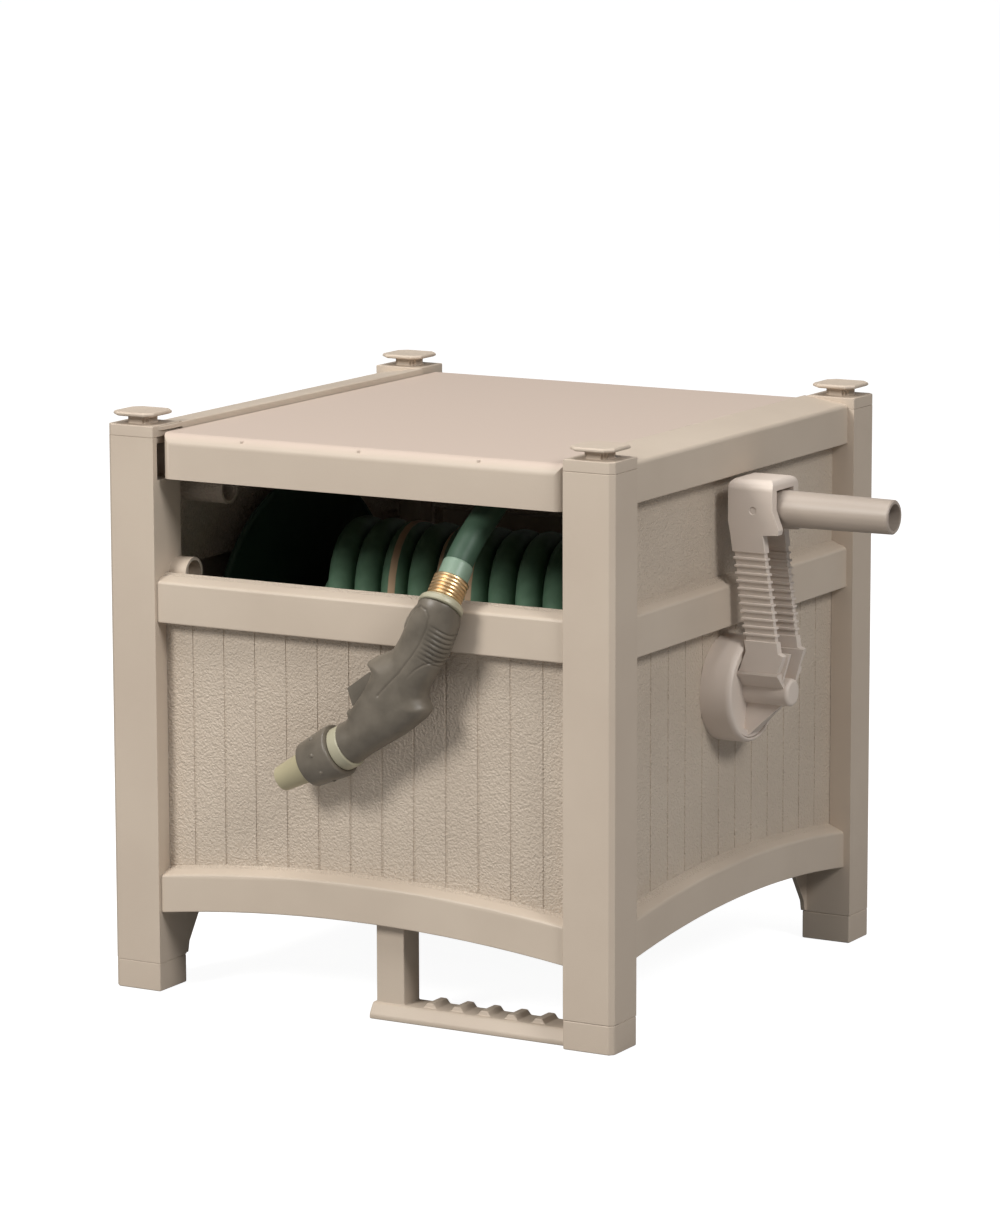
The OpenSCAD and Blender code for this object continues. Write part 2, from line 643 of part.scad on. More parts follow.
// Outer layer of hose: one tube along a helix, with straight ends, over a plain core
tube_sides = 6;
loop_rings = 24;
wound_x0 = drum_in - hose_r - 1.5 - wound_turns * wound_pitch;
wound_slope = wound_pitch / (2 * PI * helix_r);

function helix_at(t) = [wound_x0 + wound_pitch * t,
    ax_y + helix_r * cos(90 + 360 * t), axis_z + helix_r * sin(90 + 360 * t)];
function helix_dir(t) = unit([wound_slope, -sin(90 + 360 * t), cos(90 + 360 * t)]);
function helix_end(t, s) = ring(helix_at(t) + s * hose_d * helix_dir(t), helix_dir(t), hose_r, tube_sides);

wound_rings = concat([helix_end(0, -1)],
    [for (i = [0:wound_turns * loop_rings]) helix_end(i / loop_rings, 0)],
    [helix_end(wound_turns, 1)]);
echo("least gap between neighbouring turns of hose",
    min([for (j = [0:tube_sides - 1], k = [0:tube_sides - 1])
        norm(wound_rings[loop_rings][j] - wound_rings[2 * loop_rings][k])]));

module wound_hose() color(hose_green) polyhedron(points = [for (r = wound_rings) each r],
    faces = tube_faces(len(wound_rings), tube_sides), convexity = 20);

module hose_bulk() color(hose_green) difference() {
    axle(pack_r, -drum_in + 0.3, drum_in - 0.3);
    axle(core_r + 0.3, -drum_in, drum_in);
}

module water_tube() color(steel) difference() {
    union() {
        axle(tube_r, elbow_x + 4, -drum_in + water_tube_in);
        translate([-drum_in + branch_in, ax_y, axis_z - core_r + 2])
            cylinder(r = tube_r - 2, h = core_r - 2, $fn = ns);
    }
    axle(tube_r - 4, elbow_x, -drum_in + water_tube_in - 6);
    translate([-drum_in + branch_in, ax_y, axis_z - core_r]) cylinder(r = tube_r - 4.5, h = core_r, $fn = ns);
}

module drive_shaft() color(steel) difference() {
    axle(shaft_r, drum_in - shaft_in, disc_x - rim_t);
    axle(shaft_r - wall, drum_in - shaft_in - 1, disc_x - rim_t - shaft_r);
}

// Crank hub: a dished disc, a boss, a wedge-shaped web below and two sloping shelves with tabs above.
// The shelves and the wedge are drawn from the drum's axis, in the plane across it.
dish = 4;
floor_x = disc_x - dish;
shelf_z = axis_z + shelf_up;
half_fork = grip_d / 2 + 0.3;
arm_half = half_fork + leg_t;
foot_fork = grip_end_d / 2 + 0.2;
foot_half = foot_fork + leg_foot_t;
foot_in_x = disc_x - 2.9;
web_x = disc_x + boss_l - 10;
foot_out_x = disc_x + boss_l - 5;
tab_t = 3;
tab_y = foot_fork - tab_t;

module hub_plate(y0, y1) translate([0, ax_y + y1, 0]) rotate([90, 0, 0]) linear_extrude(y1 - y0) children();
module across(x0, x1) translate([x0, ax_y, axis_z]) rotate([90, 0, 90]) linear_extrude(x1 - x0) children();

module crank_hub() color(resin) {
    turned(disc_x - rim_t) polygon([[0, 0], [hub_r, 0], [hub_r, rim_t], [hub_r - 5, rim_t],
        [hub_r - 6.5, rim_t - dish], [0, rim_t - dish]]);
    turned(floor_x - 1) polygon(concat([[0, 0], [boss_r, 0]],
        arc([boss_r - 3.5, boss_l + dish - 2.5], 3.5, 0, 90, 5), [[0, boss_l + dish + 1]]));
    intersection() {
        hub_plate(-hub_r, hub_r) polygon([[floor_x - 1, axis_z - hub_r + 3], [disc_x + 1, axis_z - hub_r + 3],
            [web_x, axis_z - boss_r + 0.5], [web_x, axis_z], [floor_x - 1, axis_z]]);
        across(floor_x - 1, web_x + 1)
            polygon([[-3, 1], [-3, -11], [-10, -hub_r], [10, -hub_r], [3, -11], [3, 1]]);
    }
    for (s = [0, 1]) translate([0, s * 2 * ax_y, 0]) mirror([0, s, 0]) {
        across(floor_x - 1, foot_out_x + 1) polygon([[0, 4.5], [tab_y, 8.5], [tab_y, shelf_up],
            [foot_half + 1, shelf_up], [foot_half + 1, shelf_up - 2], [7, 1], [0, 0]]);
        hub_plate(tab_y, foot_fork) polygon([[disc_x + 9, shelf_z - 8], [foot_out_x + 1, shelf_z - 8],
            [foot_out_x + 8, shelf_z + 16], [disc_x + 9, shelf_z + 16]]);
    }
}

// Crank arm: two slanting ribbed legs that come together downwards, and a soft head over the grip's root
head_z0 = pivot_z - 20;
head_z1 = pivot_z + 25;
head_x1 = arm_x + head_w;
head_soft = 9;
knee_z = axis_z + 35;
rib_z0 = axis_z + 42;
rib_z1 = rib_z0 + leg_ribs * rib_pitch;
hood_z = pivot_z + grip_d / 2 + 1.2;
function leg_x(z) = arm_x + 2 + leg_lean * (head_z0 - z) / (head_z0 - knee_z);

// Outline of the arm seen from the front or the back, with the legs made smaller by i
module arm_side(i) polygon(concat(
    [[foot_in_x, shelf_z], [leg_x(knee_z) + i, knee_z], [leg_x(head_z0) + i, head_z0], [arm_x, head_z0 + 10]],
    arc([arm_x + 6, head_z1 - 6], 6, 180, 90, 5), arc([head_x1 - 6, head_z1 - 6], 6, 90, 0, 5),
    [[head_x1, head_z0 + 21], [head_x1 + 6, head_z0 + 5], [head_x1 + 5, head_z0 + 1]],
    [[leg_x(head_z0) + leg_w - i, head_z0], [leg_x(knee_z) + leg_w - i, knee_z]],
    [[foot_out_x + 5.5, knee_z - 2], [foot_out_x + 4.5, knee_z - 6], [foot_out_x, shelf_z]]));

// One leg and half of the head, seen along X from the middle of the fork
module arm_front(i) polygon(concat([[foot_fork + i, shelf_up], [foot_half - i, shelf_up],
    [arm_half - i, head_z0 - axis_z]], arc([arm_half - head_soft, head_z1 - head_soft - axis_z], head_soft, 0, 90, 5),
    [[-1, head_z1 - axis_z], [-1, hood_z - axis_z], [half_fork + i, hood_z - axis_z], [half_fork + i, head_z0 - axis_z]]));

module arm_half_piece(i, z0, z1) intersection() {
    hub_plate(-1, arm_half) arm_side(i);
    across(arm_x - 1, foot_out_x + head_w) arm_front(i);
    translate([arm_x - 1, ax_y - 2, z0]) cube([2 * head_w, arm_half + 3, z1 - z0]);
}

module crank_arm() color(resin) difference() {
    union() {
        for (s = [0, 1]) translate([0, s * 2 * ax_y, 0]) mirror([0, s, 0]) {
            arm_half_piece(0, shelf_z - 1, rib_z0);
            arm_half_piece(0, rib_z1 - rib_pitch + rib_h, head_z1 + 1);
            arm_half_piece(rib_out, rib_z0 - 1, rib_z1);
            for (i = [0:leg_ribs - 1]) arm_half_piece(0, rib_z0 + i * rib_pitch, rib_z0 + i * rib_pitch + rib_h);
        }
        translate([arm_x, ax_y - arm_half + 1, head_z0 + 12]) cube([2.4, 2 * arm_half - 2, head_z1 - head_z0 - 20]);
    }
    translate([pivot_x, ax_y - arm_half - 1, pivot_z]) rotate([-90, 0, 0])
        cylinder(r = grip_pin_r + 0.05, h = 2 * arm_half + 2, $fn = ns);
}

module grip_pin() color(steel) translate([pivot_x, ax_y - arm_half + 0.5, pivot_z]) rotate([-90, 0, 0])
    cylinder(r = grip_pin_r, h = 2 * arm_half - 1, $fn = ns);

module crank_grip() color(resin) difference() {
    union() {
        translate([pivot_x, ax_y - grip_d / 2, pivot_z]) rotate([-90, 0, 0])
            cylinder(r = grip_d / 2 - 0.5, h = grip_d, $fn = ns);
        translate([pivot_x, ax_y, pivot_z]) rotate([0, 90, 0]) rotate_extrude($fn = ns) polygon([[0, 0],
            [grip_d / 2, 0], [grip_d / 2, 14], [grip_end_d / 2, grip_l - 1], [grip_end_d / 2 - 1, grip_l], [0, grip_l]]);
    }
    translate([pivot_x + 20, ax_y, pivot_z]) rotate([0, 90, 0]) rotate_extrude($fn = ns)
        polygon([[0, 0], [grip_end_d / 2 - 4, 0], [grip_end_d / 2 - 3, grip_l], [0, grip_l]]);
    translate([pivot_x, ax_y - grip_d, pivot_z]) rotate([-90, 0, 0])
        cylinder(r = grip_pin_r + run_fit, h = 2 * grip_d, $fn = ns);
}

// Nozzle: it hangs in front of the middle rail and touches the rail with its flat back
nozzle_y = -rail_y - nozzle_t / 2;
barrel_o = [nozzle_x - 93, nozzle_y, nozzle_z - 125];
ring_o = [nozzle_x, nozzle_y, nozzle_z - 1];
lead_dir = unit([1, 8, 10.5]);
ferrule_l = 32;
nose_r = 8;

// Turned pieces on the barrel's axis, and on the hose's axis above the ring
module on_barrel(s) translate(barrel_o) rotate([0, -90 - barrel_angle, 0]) translate([0, 0, s]) children();
module on_lead(s) translate(ring_o) rotate([0, acos(lead_dir[2]), atan2(lead_dir[1], lead_dir[0])])
    translate([0, 0, s]) children();
module turned_shape(shape) rotate_extrude($fn = ns) polygon(shape);

// A flat round puck with softened edges, facing the front
module puck(x, z, r, t) translate([nozzle_x + x, nozzle_y, nozzle_z + z]) rotate([90, 0, 0]) {
    cylinder(r = r, h = t - 10, center = true, $fn = 28);
    cylinder(r = r - 4, h = t, center = true, $fn = 28);
}

module fin(t, shape) translate([nozzle_x, nozzle_y + t / 2, nozzle_z]) rotate([90, 0, 0]) linear_extrude(t) polygon(shape);

trigger_at = [-42, -67];

module nozzle_body() color(rubber) difference() {
    union() {
        hull() {
            puck(-7.5, -17, 19, nozzle_t);
            puck(-18, -40, 20, nozzle_t);
            translate([nozzle_x - 1.4, nozzle_y, nozzle_z - 2]) sphere(r = 17, $fn = 28);
        }
        hull() {
            puck(-18, -40, 20, nozzle_t);
            puck(-39, -76, 18, nozzle_t - 2);
        }
        hull() {
            puck(-23.5, -87, 9, nozzle_t - 8);
            puck(-42, -84, 16, nozzle_t - 2);
            on_barrel(-10) cylinder(r = 17.6, h = 4, $fn = 28);
        }
        fin(18, [[-20, -28.5], [-63.5, -49.3], [-60.5, -58], [-30, -70]]);
        fin(14, [[-84.5, -91.8], [-84, -99], [-91, -104], [-80, -112], [-68, -91.5]]);
    }
    on_barrel(-30) cylinder(r = nose_r + 0.05, h = 40, $fn = ns);
    on_lead(-2) cylinder(r = 34, h = 40, $fn = ns);
    fin(16, [[-92, -73], [-66, -57.5], [-44, -57.5], [-35, -61], [-34, -70], [-40, -78], [-60, -91], [-82, -91]]);
    translate([nozzle_x + trigger_at[0], nozzle_y - 12, nozzle_z + trigger_at[1]]) rotate([-90, 0, 0])
        cylinder(r = 1.55, h = 24, $fn = 24);
}

module nozzle_trigger() color(rubber) difference() {
    fin(15, [[-82.3, -72.8], [-63, -59], [-46, -59.5], [-37.5, -63], [-37.5, -70], [-44, -74], [-60, -80], [-77.5, -87]]);
    translate([nozzle_x + trigger_at[0], nozzle_y - 12, nozzle_z + trigger_at[1]]) rotate([-90, 0, 0])
        cylinder(r = 1.6, h = 24, $fn = 24);
}

module trigger_pin() color(steel) translate([nozzle_x + trigger_at[0], nozzle_y - 11.5, nozzle_z + trigger_at[1]])
    rotate([-90, 0, 0]) cylinder(r = 1.5, h = 23, $fn = 24);

module nozzle_bezel() color(cream) on_barrel(-6) turned_shape([[nose_r + 0.05, 0], [17.6, 0], [18.2, 1], [18.2, 6], [nose_r + 0.05, 6]]);
module nozzle_nose() color(steel) on_barrel(-30) turned_shape([[5, 0], [nose_r, 0], [nose_r, 58], [5, 58]]);

module nozzle_collar() color(rubber) on_barrel(0.4) turned_shape([[nose_r + run_fit, 0], [collar_r - 1, 0], [collar_r, 1],
    [collar_r, 4], [collar_r - 3, collar_l], [nose_r + run_fit, collar_l]]);

module nozzle_tip() color(cream) on_barrel(0.4 + collar_l) turned_shape([[6, 0], [13.2, 0], [13, 4], [10.4, 31], [7.6, 31], [6, 20]]);

module nozzle_ring() color(cream) on_lead(-2)
    turned_shape([[4, 0], [17.8, 0], [18.3, 1], [18.3, 4], [16.6, 6], [14.4, 7.5], [4, 7.5]]);

// Brass ferrule with rolled rings, and the pale band on the hose above it
module hose_ferrule() color(brass) on_lead(5.5) {
    rings = 6;
    pitch = (ferrule_l - 5.5) / rings;
    turned_shape(concat([[0, 0]], [for (i = [0:rings - 1]) each [[13.6, i * pitch], [14.5, (i + 0.3) * pitch],
        [14.5, (i + 0.7) * pitch], [13.6, (i + 1) * pitch - 0.01]]], [[0, ferrule_l - 5.5]]));
}

module hose_band() color([0.47, 0.63, 0.53]) on_lead(ferrule_l)
    turned_shape([[hose_r + 0.05, 0], [hose_r + 1, 0], [hose_r + 1, 7.5], [hose_r + 0.05, 8.5]]);

// Free stretch of hose: up from the ferrule, under the lid, and down behind the wound hose.
// Each row is an offset from the ferrule's end, chosen by hand.
lead_from = ring_o + ferrule_l * lead_dir;
lead_points = [[0, 0, 0], [1, 8, 10.5], [3, 16.5, 21], [4.5, 26, 30], [6.5, 44, 44], [6, 65, 56], [4.5, 90, 64.5],
    [2.5, 120, 68.5], [0.5, 170, 69.5]];
lead_top = lead_from + lead_points[8];
lay_r = wound_r + hose_r + 1.5;
lay_end = -60;
top_y = ax_y - lead_top[1];
top_z = lead_top[2] - axis_z;
bend_r = (top_y * top_y + top_z * top_z - lay_r * lay_r) / (2 * (top_z - lay_r));
meet_a = atan2(bend_r - top_z, top_y);

// A point beside the drum's axis or beside the centre of the wide bend, seen along X
function beside(y, z, r, a) = [lead_top[0], y + r * cos(a), z + r * sin(a)];

lead_path = concat([for (p = lead_points) lead_from + p],
    [for (i = [1:10]) beside(lead_top[1], lead_top[2] - bend_r, bend_r, lerp(90, meet_a, i / 10))],
    [for (i = [1:5]) beside(ax_y, axis_z, lay_r, lerp(meet_a, lay_end, i / 5))]);
lead_n = len(lead_path);
lead_rings = [for (i = [0:lead_n - 1])
    ring(lead_path[i], unit(lead_path[min(i + 1, lead_n - 1)] - lead_path[max(i - 1, 0)]), hose_r, 10)];
function path_length(p, i) = i == 0 ? 0 : norm(p[i] - p[i - 1]) + path_length(p, i - 1);
echo("length of the free stretch of hose", path_length(lead_path, lead_n - 1));

module hose_lead() color(hose_green)
    polyhedron(points = [for (r = lead_rings) each r], faces = tube_faces(lead_n, 10), convexity = 6);

post_front_left();
post_front_right();
post_rear_left();
post_rear_right();
cap_front_left();
cap_front_right();
cap_rear_left();
cap_rear_right();
foot_front_left();
foot_front_right();
foot_rear_left();
foot_rear_right();
front_panel();
rear_panel();
left_panel();
right_panel();
lid();
hinge_pin_left();
hinge_pin_right();
foot_step();
step_screws();
crank_cup();
cup_screws();
right_bearing();
left_bearing();
inlet_elbow();
inlet_seal();
drum_core();
left_flange();
right_flange();
flange_screws();
wound_hose();
hose_bulk();
water_tube();
drive_shaft();
crank_hub();
crank_arm();
grip_pin();
crank_grip();
hose_lead();
hose_band();
hose_ferrule();
nozzle_ring();
nozzle_body();
nozzle_trigger();
trigger_pin();
nozzle_bezel();
nozzle_nose();
nozzle_collar();
nozzle_tip();
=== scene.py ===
import math
import bpy
from mathutils import Matrix, Vector
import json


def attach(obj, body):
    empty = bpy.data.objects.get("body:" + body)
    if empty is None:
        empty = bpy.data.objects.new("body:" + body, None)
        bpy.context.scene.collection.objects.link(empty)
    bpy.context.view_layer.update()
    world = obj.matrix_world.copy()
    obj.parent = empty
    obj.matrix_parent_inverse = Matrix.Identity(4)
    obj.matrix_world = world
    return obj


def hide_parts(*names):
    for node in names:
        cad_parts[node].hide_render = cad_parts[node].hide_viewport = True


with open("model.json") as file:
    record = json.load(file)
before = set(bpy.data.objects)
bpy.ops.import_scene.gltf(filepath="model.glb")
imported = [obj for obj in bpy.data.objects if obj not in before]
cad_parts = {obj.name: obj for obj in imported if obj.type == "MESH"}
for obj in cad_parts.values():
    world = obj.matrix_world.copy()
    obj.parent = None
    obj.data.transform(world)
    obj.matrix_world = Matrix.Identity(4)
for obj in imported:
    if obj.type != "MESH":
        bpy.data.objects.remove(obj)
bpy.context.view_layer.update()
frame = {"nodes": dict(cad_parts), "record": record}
cad = frame["nodes"]
bodies = frame["record"]["behaviour"]["bodies"]
body_of = {node: body for body, names in bodies.items() for node in names}

# Sizes of the hose and its drum, in metres
HOSE_D = 0.023
AXIS_Y, AXIS_Z = -0.005, 0.257
WOUND_R = 0.114
DRUM_IN = 0.187
LAY_R = WOUND_R + HOSE_D / 2 + 0.0015

# The nozzle: the middle of its ring and of its barrel's end, and the ways that they face
RING_O = Vector((0.089, -0.249, 0.350))
LEAD_DIR = Vector((1, 8, 10.5)).normalized()
BARREL_O = Vector((-0.004, -0.249, 0.226))
BARREL_DIP = math.radians(28)
BARREL_DIR = Vector((-math.cos(BARREL_DIP), 0, -math.sin(BARREL_DIP)))


# The camera and the light

# Where the camera stands, which way it looks (round, up and tilted, in degrees), and its lens
CAMERA_PLACE = (2.077, -3.6552, 1.0413)
CAMERA_TURN = (29.593, 9.998, -0.141)
CAMERA_LENS, CAMERA_FILM = 149.92, 36

# Each lamp's place, the point it faces, its width in metres, its power and its colour
LAMPS = {
    "key_lamp": ((-1.4, -3.75, 2.65), (0, 0, 0.2), 1.4, 134, (1.0, 0.985, 0.955)),
    "top_lamp": ((-0.2, -0.6, 3.2), (0, 0, 0.3), 2.0, 50, (1, 1, 1)),
    "side_lamp": ((3.3, -1.3, 2.7), (0, 0, 0.2), 1.2, 76, (1, 1, 1))}

# How strongly the pale room lights the object, and the floor's width, level, grey and glow
ROOM_LEVEL = 0.21
FLOOR_WIDTH, FLOOR_LEVEL = 60, -0.0005
FLOOR_GREY, FLOOR_SHINE = 0.30, 0.94


def place_camera():
    azimuth, elevation, roll = (math.radians(a) for a in CAMERA_TURN)
    flat = math.cos(elevation)
    right = Vector((math.cos(azimuth), math.sin(azimuth), 0))
    back = Vector((math.sin(azimuth) * flat, -math.cos(azimuth) * flat, math.sin(elevation)))
    up = back.cross(right)
    across = right * math.cos(roll) + up * math.sin(roll)
    above = up * math.cos(roll) - right * math.sin(roll)
    data = bpy.data.cameras.new("camera")
    data.lens = CAMERA_LENS
    data.sensor_width = CAMERA_FILM
    camera = bpy.data.objects.new("camera", data)
    bpy.context.collection.objects.link(camera)
    turned = Matrix((across, above, back)).transposed().to_4x4()
    camera.matrix_world = Matrix.Translation(CAMERA_PLACE) @ turned
    bpy.context.scene.camera = camera


def soft_lamp(name, place, aim, size, power, colour):
    data = bpy.data.lights.new(name, "AREA")
    data.shape = "DISK"
    data.size = size
    data.energy = power
    data.color = colour
    lamp = bpy.data.objects.new(name, data)
    bpy.context.collection.objects.link(lamp)
    lamp.location = place
    lamp.rotation_euler = (Vector(aim) - Vector(place)).to_track_quat("-Z", "Y").to_euler()


def white_to_the_camera(tree):
    """1 where the camera sees a surface, also through glass, and 0 for the light that it throws."""
    rays = tree.nodes.new("ShaderNodeLightPath").outputs
    return arithmetic(tree, "MAXIMUM", rays["Is Camera Ray"], rays["Is Transmission Ray"])


def pale_room():
    world = bpy.data.worlds.new("studio_world")
    world.use_nodes = True
    bpy.context.scene.world = world
    tree = world.node_tree
    level = between(tree, white_to_the_camera(tree), (0, 1), (ROOM_LEVEL, 1))
    tree.links.new(level, tree.nodes["Background"].inputs["Strength"])
    tree.nodes["Background"].inputs["Color"].default_value = (1, 1, 1, 1)


def pale_floor():
    deselect()
    bpy.ops.mesh.primitive_plane_add(size=FLOOR_WIDTH, location=(0, 0, FLOOR_LEVEL))
    floor = bpy.context.object
    floor.name = "studio_floor"
    made, tree, base = shader("studio_floor_paint", roughness=0.95, specular=0.0)
    base.inputs["Base Color"].default_value = (FLOOR_GREY, FLOOR_GREY, FLOOR_GREY, 1)
    base.inputs["Emission Color"].default_value = (1, 1, 1, 1)
    shine = arithmetic(tree, "MULTIPLY", white_to_the_camera(tree), FLOOR_SHINE)
    tree.links.new(shine, base.inputs["Emission Strength"])
    floor.data.materials.append(made)


def studio():
    bpy.context.scene.view_settings.view_transform = "Standard"
    for name, (place, aim, size, power, colour) in LAMPS.items():
        soft_lamp(name, place, aim, size, power, colour)
    pale_room()
    pale_floor()


# Small helpers

def deselect():
    if bpy.context.object and bpy.context.object.mode != "OBJECT":
        bpy.ops.object.mode_set(mode="OBJECT")
    bpy.ops.object.select_all(action="DESELECT")


def take(piece):
    deselect()
    piece.select_set(True)
    bpy.context.view_layer.objects.active = piece


def settle(piece):
    """Leaves a piece at the origin, with its place in its mesh."""
    take(piece)
    bpy.ops.object.transform_apply(location=True, rotation=True, scale=True)


def apply_all(piece):
    take(piece)
    for modifier in list(piece.modifiers):
        bpy.ops.object.modifier_apply(modifier=modifier.name)


def smooth(piece, angle):
    """Shades a piece smooth, apart from edges sharper than an angle in degrees."""
    take(piece)
    bpy.ops.object.shade_smooth_by_angle(angle=math.radians(angle))


def paint(piece, finish):
    piece.data.materials.clear()
    piece.data.materials.append(finish)


def dress(piece, finish, body, node):
    """Gives a piece its material and its body, and hides the CAD node that it stands for."""
    paint(piece, finish)
    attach(piece, body)
    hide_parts(node)


# Materials

def shader(name, roughness=0.5, metallic=0.0, specular=0.5):
    made = bpy.data.materials.new(name)
    made.use_nodes = True
    base = made.node_tree.nodes["Principled BSDF"]
    base.inputs["Roughness"].default_value = roughness
    base.inputs["Metallic"].default_value = metallic
    base.inputs["Specular IOR Level"].default_value = specular
    return made, made.node_tree, base


def noise(tree, scale, detail):
    where = tree.nodes.new("ShaderNodeTexCoord")
    grain = tree.nodes.new("ShaderNodeTexNoise")
    grain.inputs["Scale"].default_value = scale
    grain.inputs["Detail"].default_value = detail
    tree.links.new(where.outputs["Object"], grain.inputs["Vector"])
    return grain.outputs["Fac"]


def coordinates(tree, source):
    """X, Y and Z of a kind of coordinates, as three values."""
    where = tree.nodes.new("ShaderNodeTexCoord")
    split = tree.nodes.new("ShaderNodeSeparateXYZ")
    tree.links.new(where.outputs[source], split.inputs[0])
    return split.outputs["X"], split.outputs["Y"], split.outputs["Z"]


def arithmetic(tree, mode, first, second):
    """One sum or test in a material. Both values may be numbers or other nodes' results."""
    step = tree.nodes.new("ShaderNodeMath")
    step.operation = mode
    for put, given in zip(step.inputs, (first, second)):
        if isinstance(given, (int, float)):
            put.default_value = given
        else:
            tree.links.new(given, put)
    return step.outputs[0]


def between(tree, value, span, result):
    """Turns a value that runs over one span into one that runs over another."""
    run = tree.nodes.new("ShaderNodeMapRange")
    run.inputs["From Min"].default_value, run.inputs["From Max"].default_value = span
    run.inputs["To Min"].default_value, run.inputs["To Max"].default_value = result
    tree.links.new(value, run.inputs["Value"])
    return run.outputs[0]


def mixed_colour(tree, share, first, second):
    """A colour that goes from the first, a node's result, to the second, a plain colour."""
    mixed = tree.nodes.new("ShaderNodeMix")
    mixed.data_type = "RGBA"
    tree.links.new(share, mixed.inputs["Factor"])
    tree.links.new(first, mixed.inputs["A"])
    mixed.inputs["B"].default_value = (*second, 1)
    return mixed.outputs["Result"]


def clouds(tree, scale, detail, deep, pale):
    """A colour that drifts between two. The ramp's ends lie where most of the noise does."""
    ramp = tree.nodes.new("ShaderNodeValToRGB")
    ends = ramp.color_ramp.elements
    ends[0].position, ends[1].position = 0.35, 0.65
    ends[0].color, ends[1].color = (*deep, 1), (*pale, 1)
    tree.links.new(noise(tree, scale, detail), ramp.inputs["Fac"])
    return ramp.outputs["Color"]


def bump(tree, base, height, strength, distance, under=None):
    relief = tree.nodes.new("ShaderNodeBump")
    relief.inputs["Strength"].default_value = strength
    relief.inputs["Distance"].default_value = distance
    tree.links.new(height, relief.inputs["Height"])
    if under:
        tree.links.new(under, relief.inputs["Normal"])
    tree.links.new(relief.outputs["Normal"], base.inputs["Normal"])
    return relief.outputs["Normal"]


# How many colour clouds, and how many of the hose's, lie in a metre
RESIN_CLOUDS, METAL_CLOUDS, HOSE_CLOUDS = 9, 60, 40

# Leather on the sheets: closer to the middle than SHEET_FACE and below the wide ledges
SHEET_FACE, LEDGE_LOW = 0.2215, 0.440
LEATHER_GRAIN, LEATHER_STRENGTH, LEATHER_DEPTH = 560, 0.6, 0.0030

# The heights between which the lid's colour turns to the painted sheen of its top
LID_EDGE_LOW, LID_EDGE_HIGH = 0.4605, 0.4655

# The hose's line: its width, as a share of the way round
STRIPE_WIDTH = 0.085


def moulded_resin(name, pale, deep, depth, roughness=0.55, grain=900, cloudy=RESIN_CLOUDS):
    """Resin with cloudy colour, a pebbled skin and a fine grain under it."""
    made, tree, base = shader(name, roughness)
    tree.links.new(clouds(tree, cloudy, 4, deep, pale), base.inputs["Base Color"])
    fine = bump(tree, base, noise(tree, grain * 3, 2), 0.1, 0.0002)
    bump(tree, base, noise(tree, grain, 3), depth, 0.0006, fine)
    return made


def panel_resin(name, pale, deep):
    """Resin that is smooth on the rails and leathery on the planks and sheets, which lie deeper."""
    made, tree, base = shader(name, 0.5)
    tree.links.new(clouds(tree, RESIN_CLOUDS, 4, deep, pale), base.inputs["Base Color"])
    x, y, z = coordinates(tree, "Object")
    outward = arithmetic(tree, "MAXIMUM", arithmetic(tree, "ABSOLUTE", x, 0),
                         arithmetic(tree, "ABSOLUTE", y, 0))
    inside = arithmetic(tree, "LESS_THAN", outward, SHEET_FACE)
    low = arithmetic(tree, "LESS_THAN", z, LEDGE_LOW)
    planks = arithmetic(tree, "MULTIPLY", inside, low)
    leather = arithmetic(tree, "MULTIPLY", noise(tree, LEATHER_GRAIN, 1.5), planks)
    fine = bump(tree, base, noise(tree, 1400, 2), 0.1, 0.0003)
    bump(tree, base, leather, LEATHER_STRENGTH, LEATHER_DEPTH, fine)
    return made


def lid_resin(name, pale, deep, painted_sheen):
    """Resin with a painted sheen that makes the lid's top lighter than the rest."""
    made, tree, base = shader(name, 0.5)
    height = coordinates(tree, "Object")[2]
    top = between(tree, height, (LID_EDGE_LOW, LID_EDGE_HIGH), (0, 1))
    plain = clouds(tree, RESIN_CLOUDS, 4, deep, pale)
    tree.links.new(mixed_colour(tree, top, plain, painted_sheen), base.inputs["Base Color"])
    bump(tree, base, noise(tree, 700, 3), 0.10, 0.0006)
    return made


def brushed_metal(name, pale, deep, roughness):
    """Metal with a fine uneven polish and darker patches."""
    made, tree, base = shader(name, roughness, metallic=1.0)
    tree.links.new(clouds(tree, METAL_CLOUDS, 3, deep, pale), base.inputs["Base Color"])
    bump(tree, base, noise(tree, 500, 2), 0.08, 0.0002)
    return made


def hose_skin(name, green, deep, stripe):
    """Smooth hose with a line along it, where U, which runs round the hose, is 0 and 1."""
    made, tree, base = shader(name, 0.5, specular=0.35)
    apart = arithmetic(tree, "SUBTRACT", coordinates(tree, "UV")[0], 0.5)
    near = arithmetic(tree, "SUBTRACT", 0.5, arithmetic(tree, "ABSOLUTE", apart, 0))
    line = between(tree, near, (STRIPE_WIDTH * 0.45, STRIPE_WIDTH * 0.55), (1, 0))
    plain = clouds(tree, HOSE_CLOUDS, 3, deep, green)
    tree.links.new(mixed_colour(tree, line, plain, stripe), base.inputs["Base Color"])
    bump(tree, base, noise(tree, 700, 2), 0.06, 0.0003)
    return made


resin = moulded_resin("resin_smooth", (0.545, 0.455, 0.365), (0.515, 0.425, 0.340), 0.12)
resin_pebbled = panel_resin("resin_pebbled", (0.560, 0.470, 0.378), (0.520, 0.432, 0.345))
# The lid's last colour is a painted sheen, lighter than its resin, for its top
resin_lid = lid_resin("resin_lid", (0.535, 0.448, 0.362), (0.505, 0.420, 0.338),
                      (0.555, 0.448, 0.375))
# The crank's resin is the cabinet's resin painted lighter: painted light on the crank's side
resin_crank = moulded_resin("resin_crank", (0.670, 0.578, 0.503), (0.630, 0.538, 0.463), 0.10,
                            0.45, grain=700)
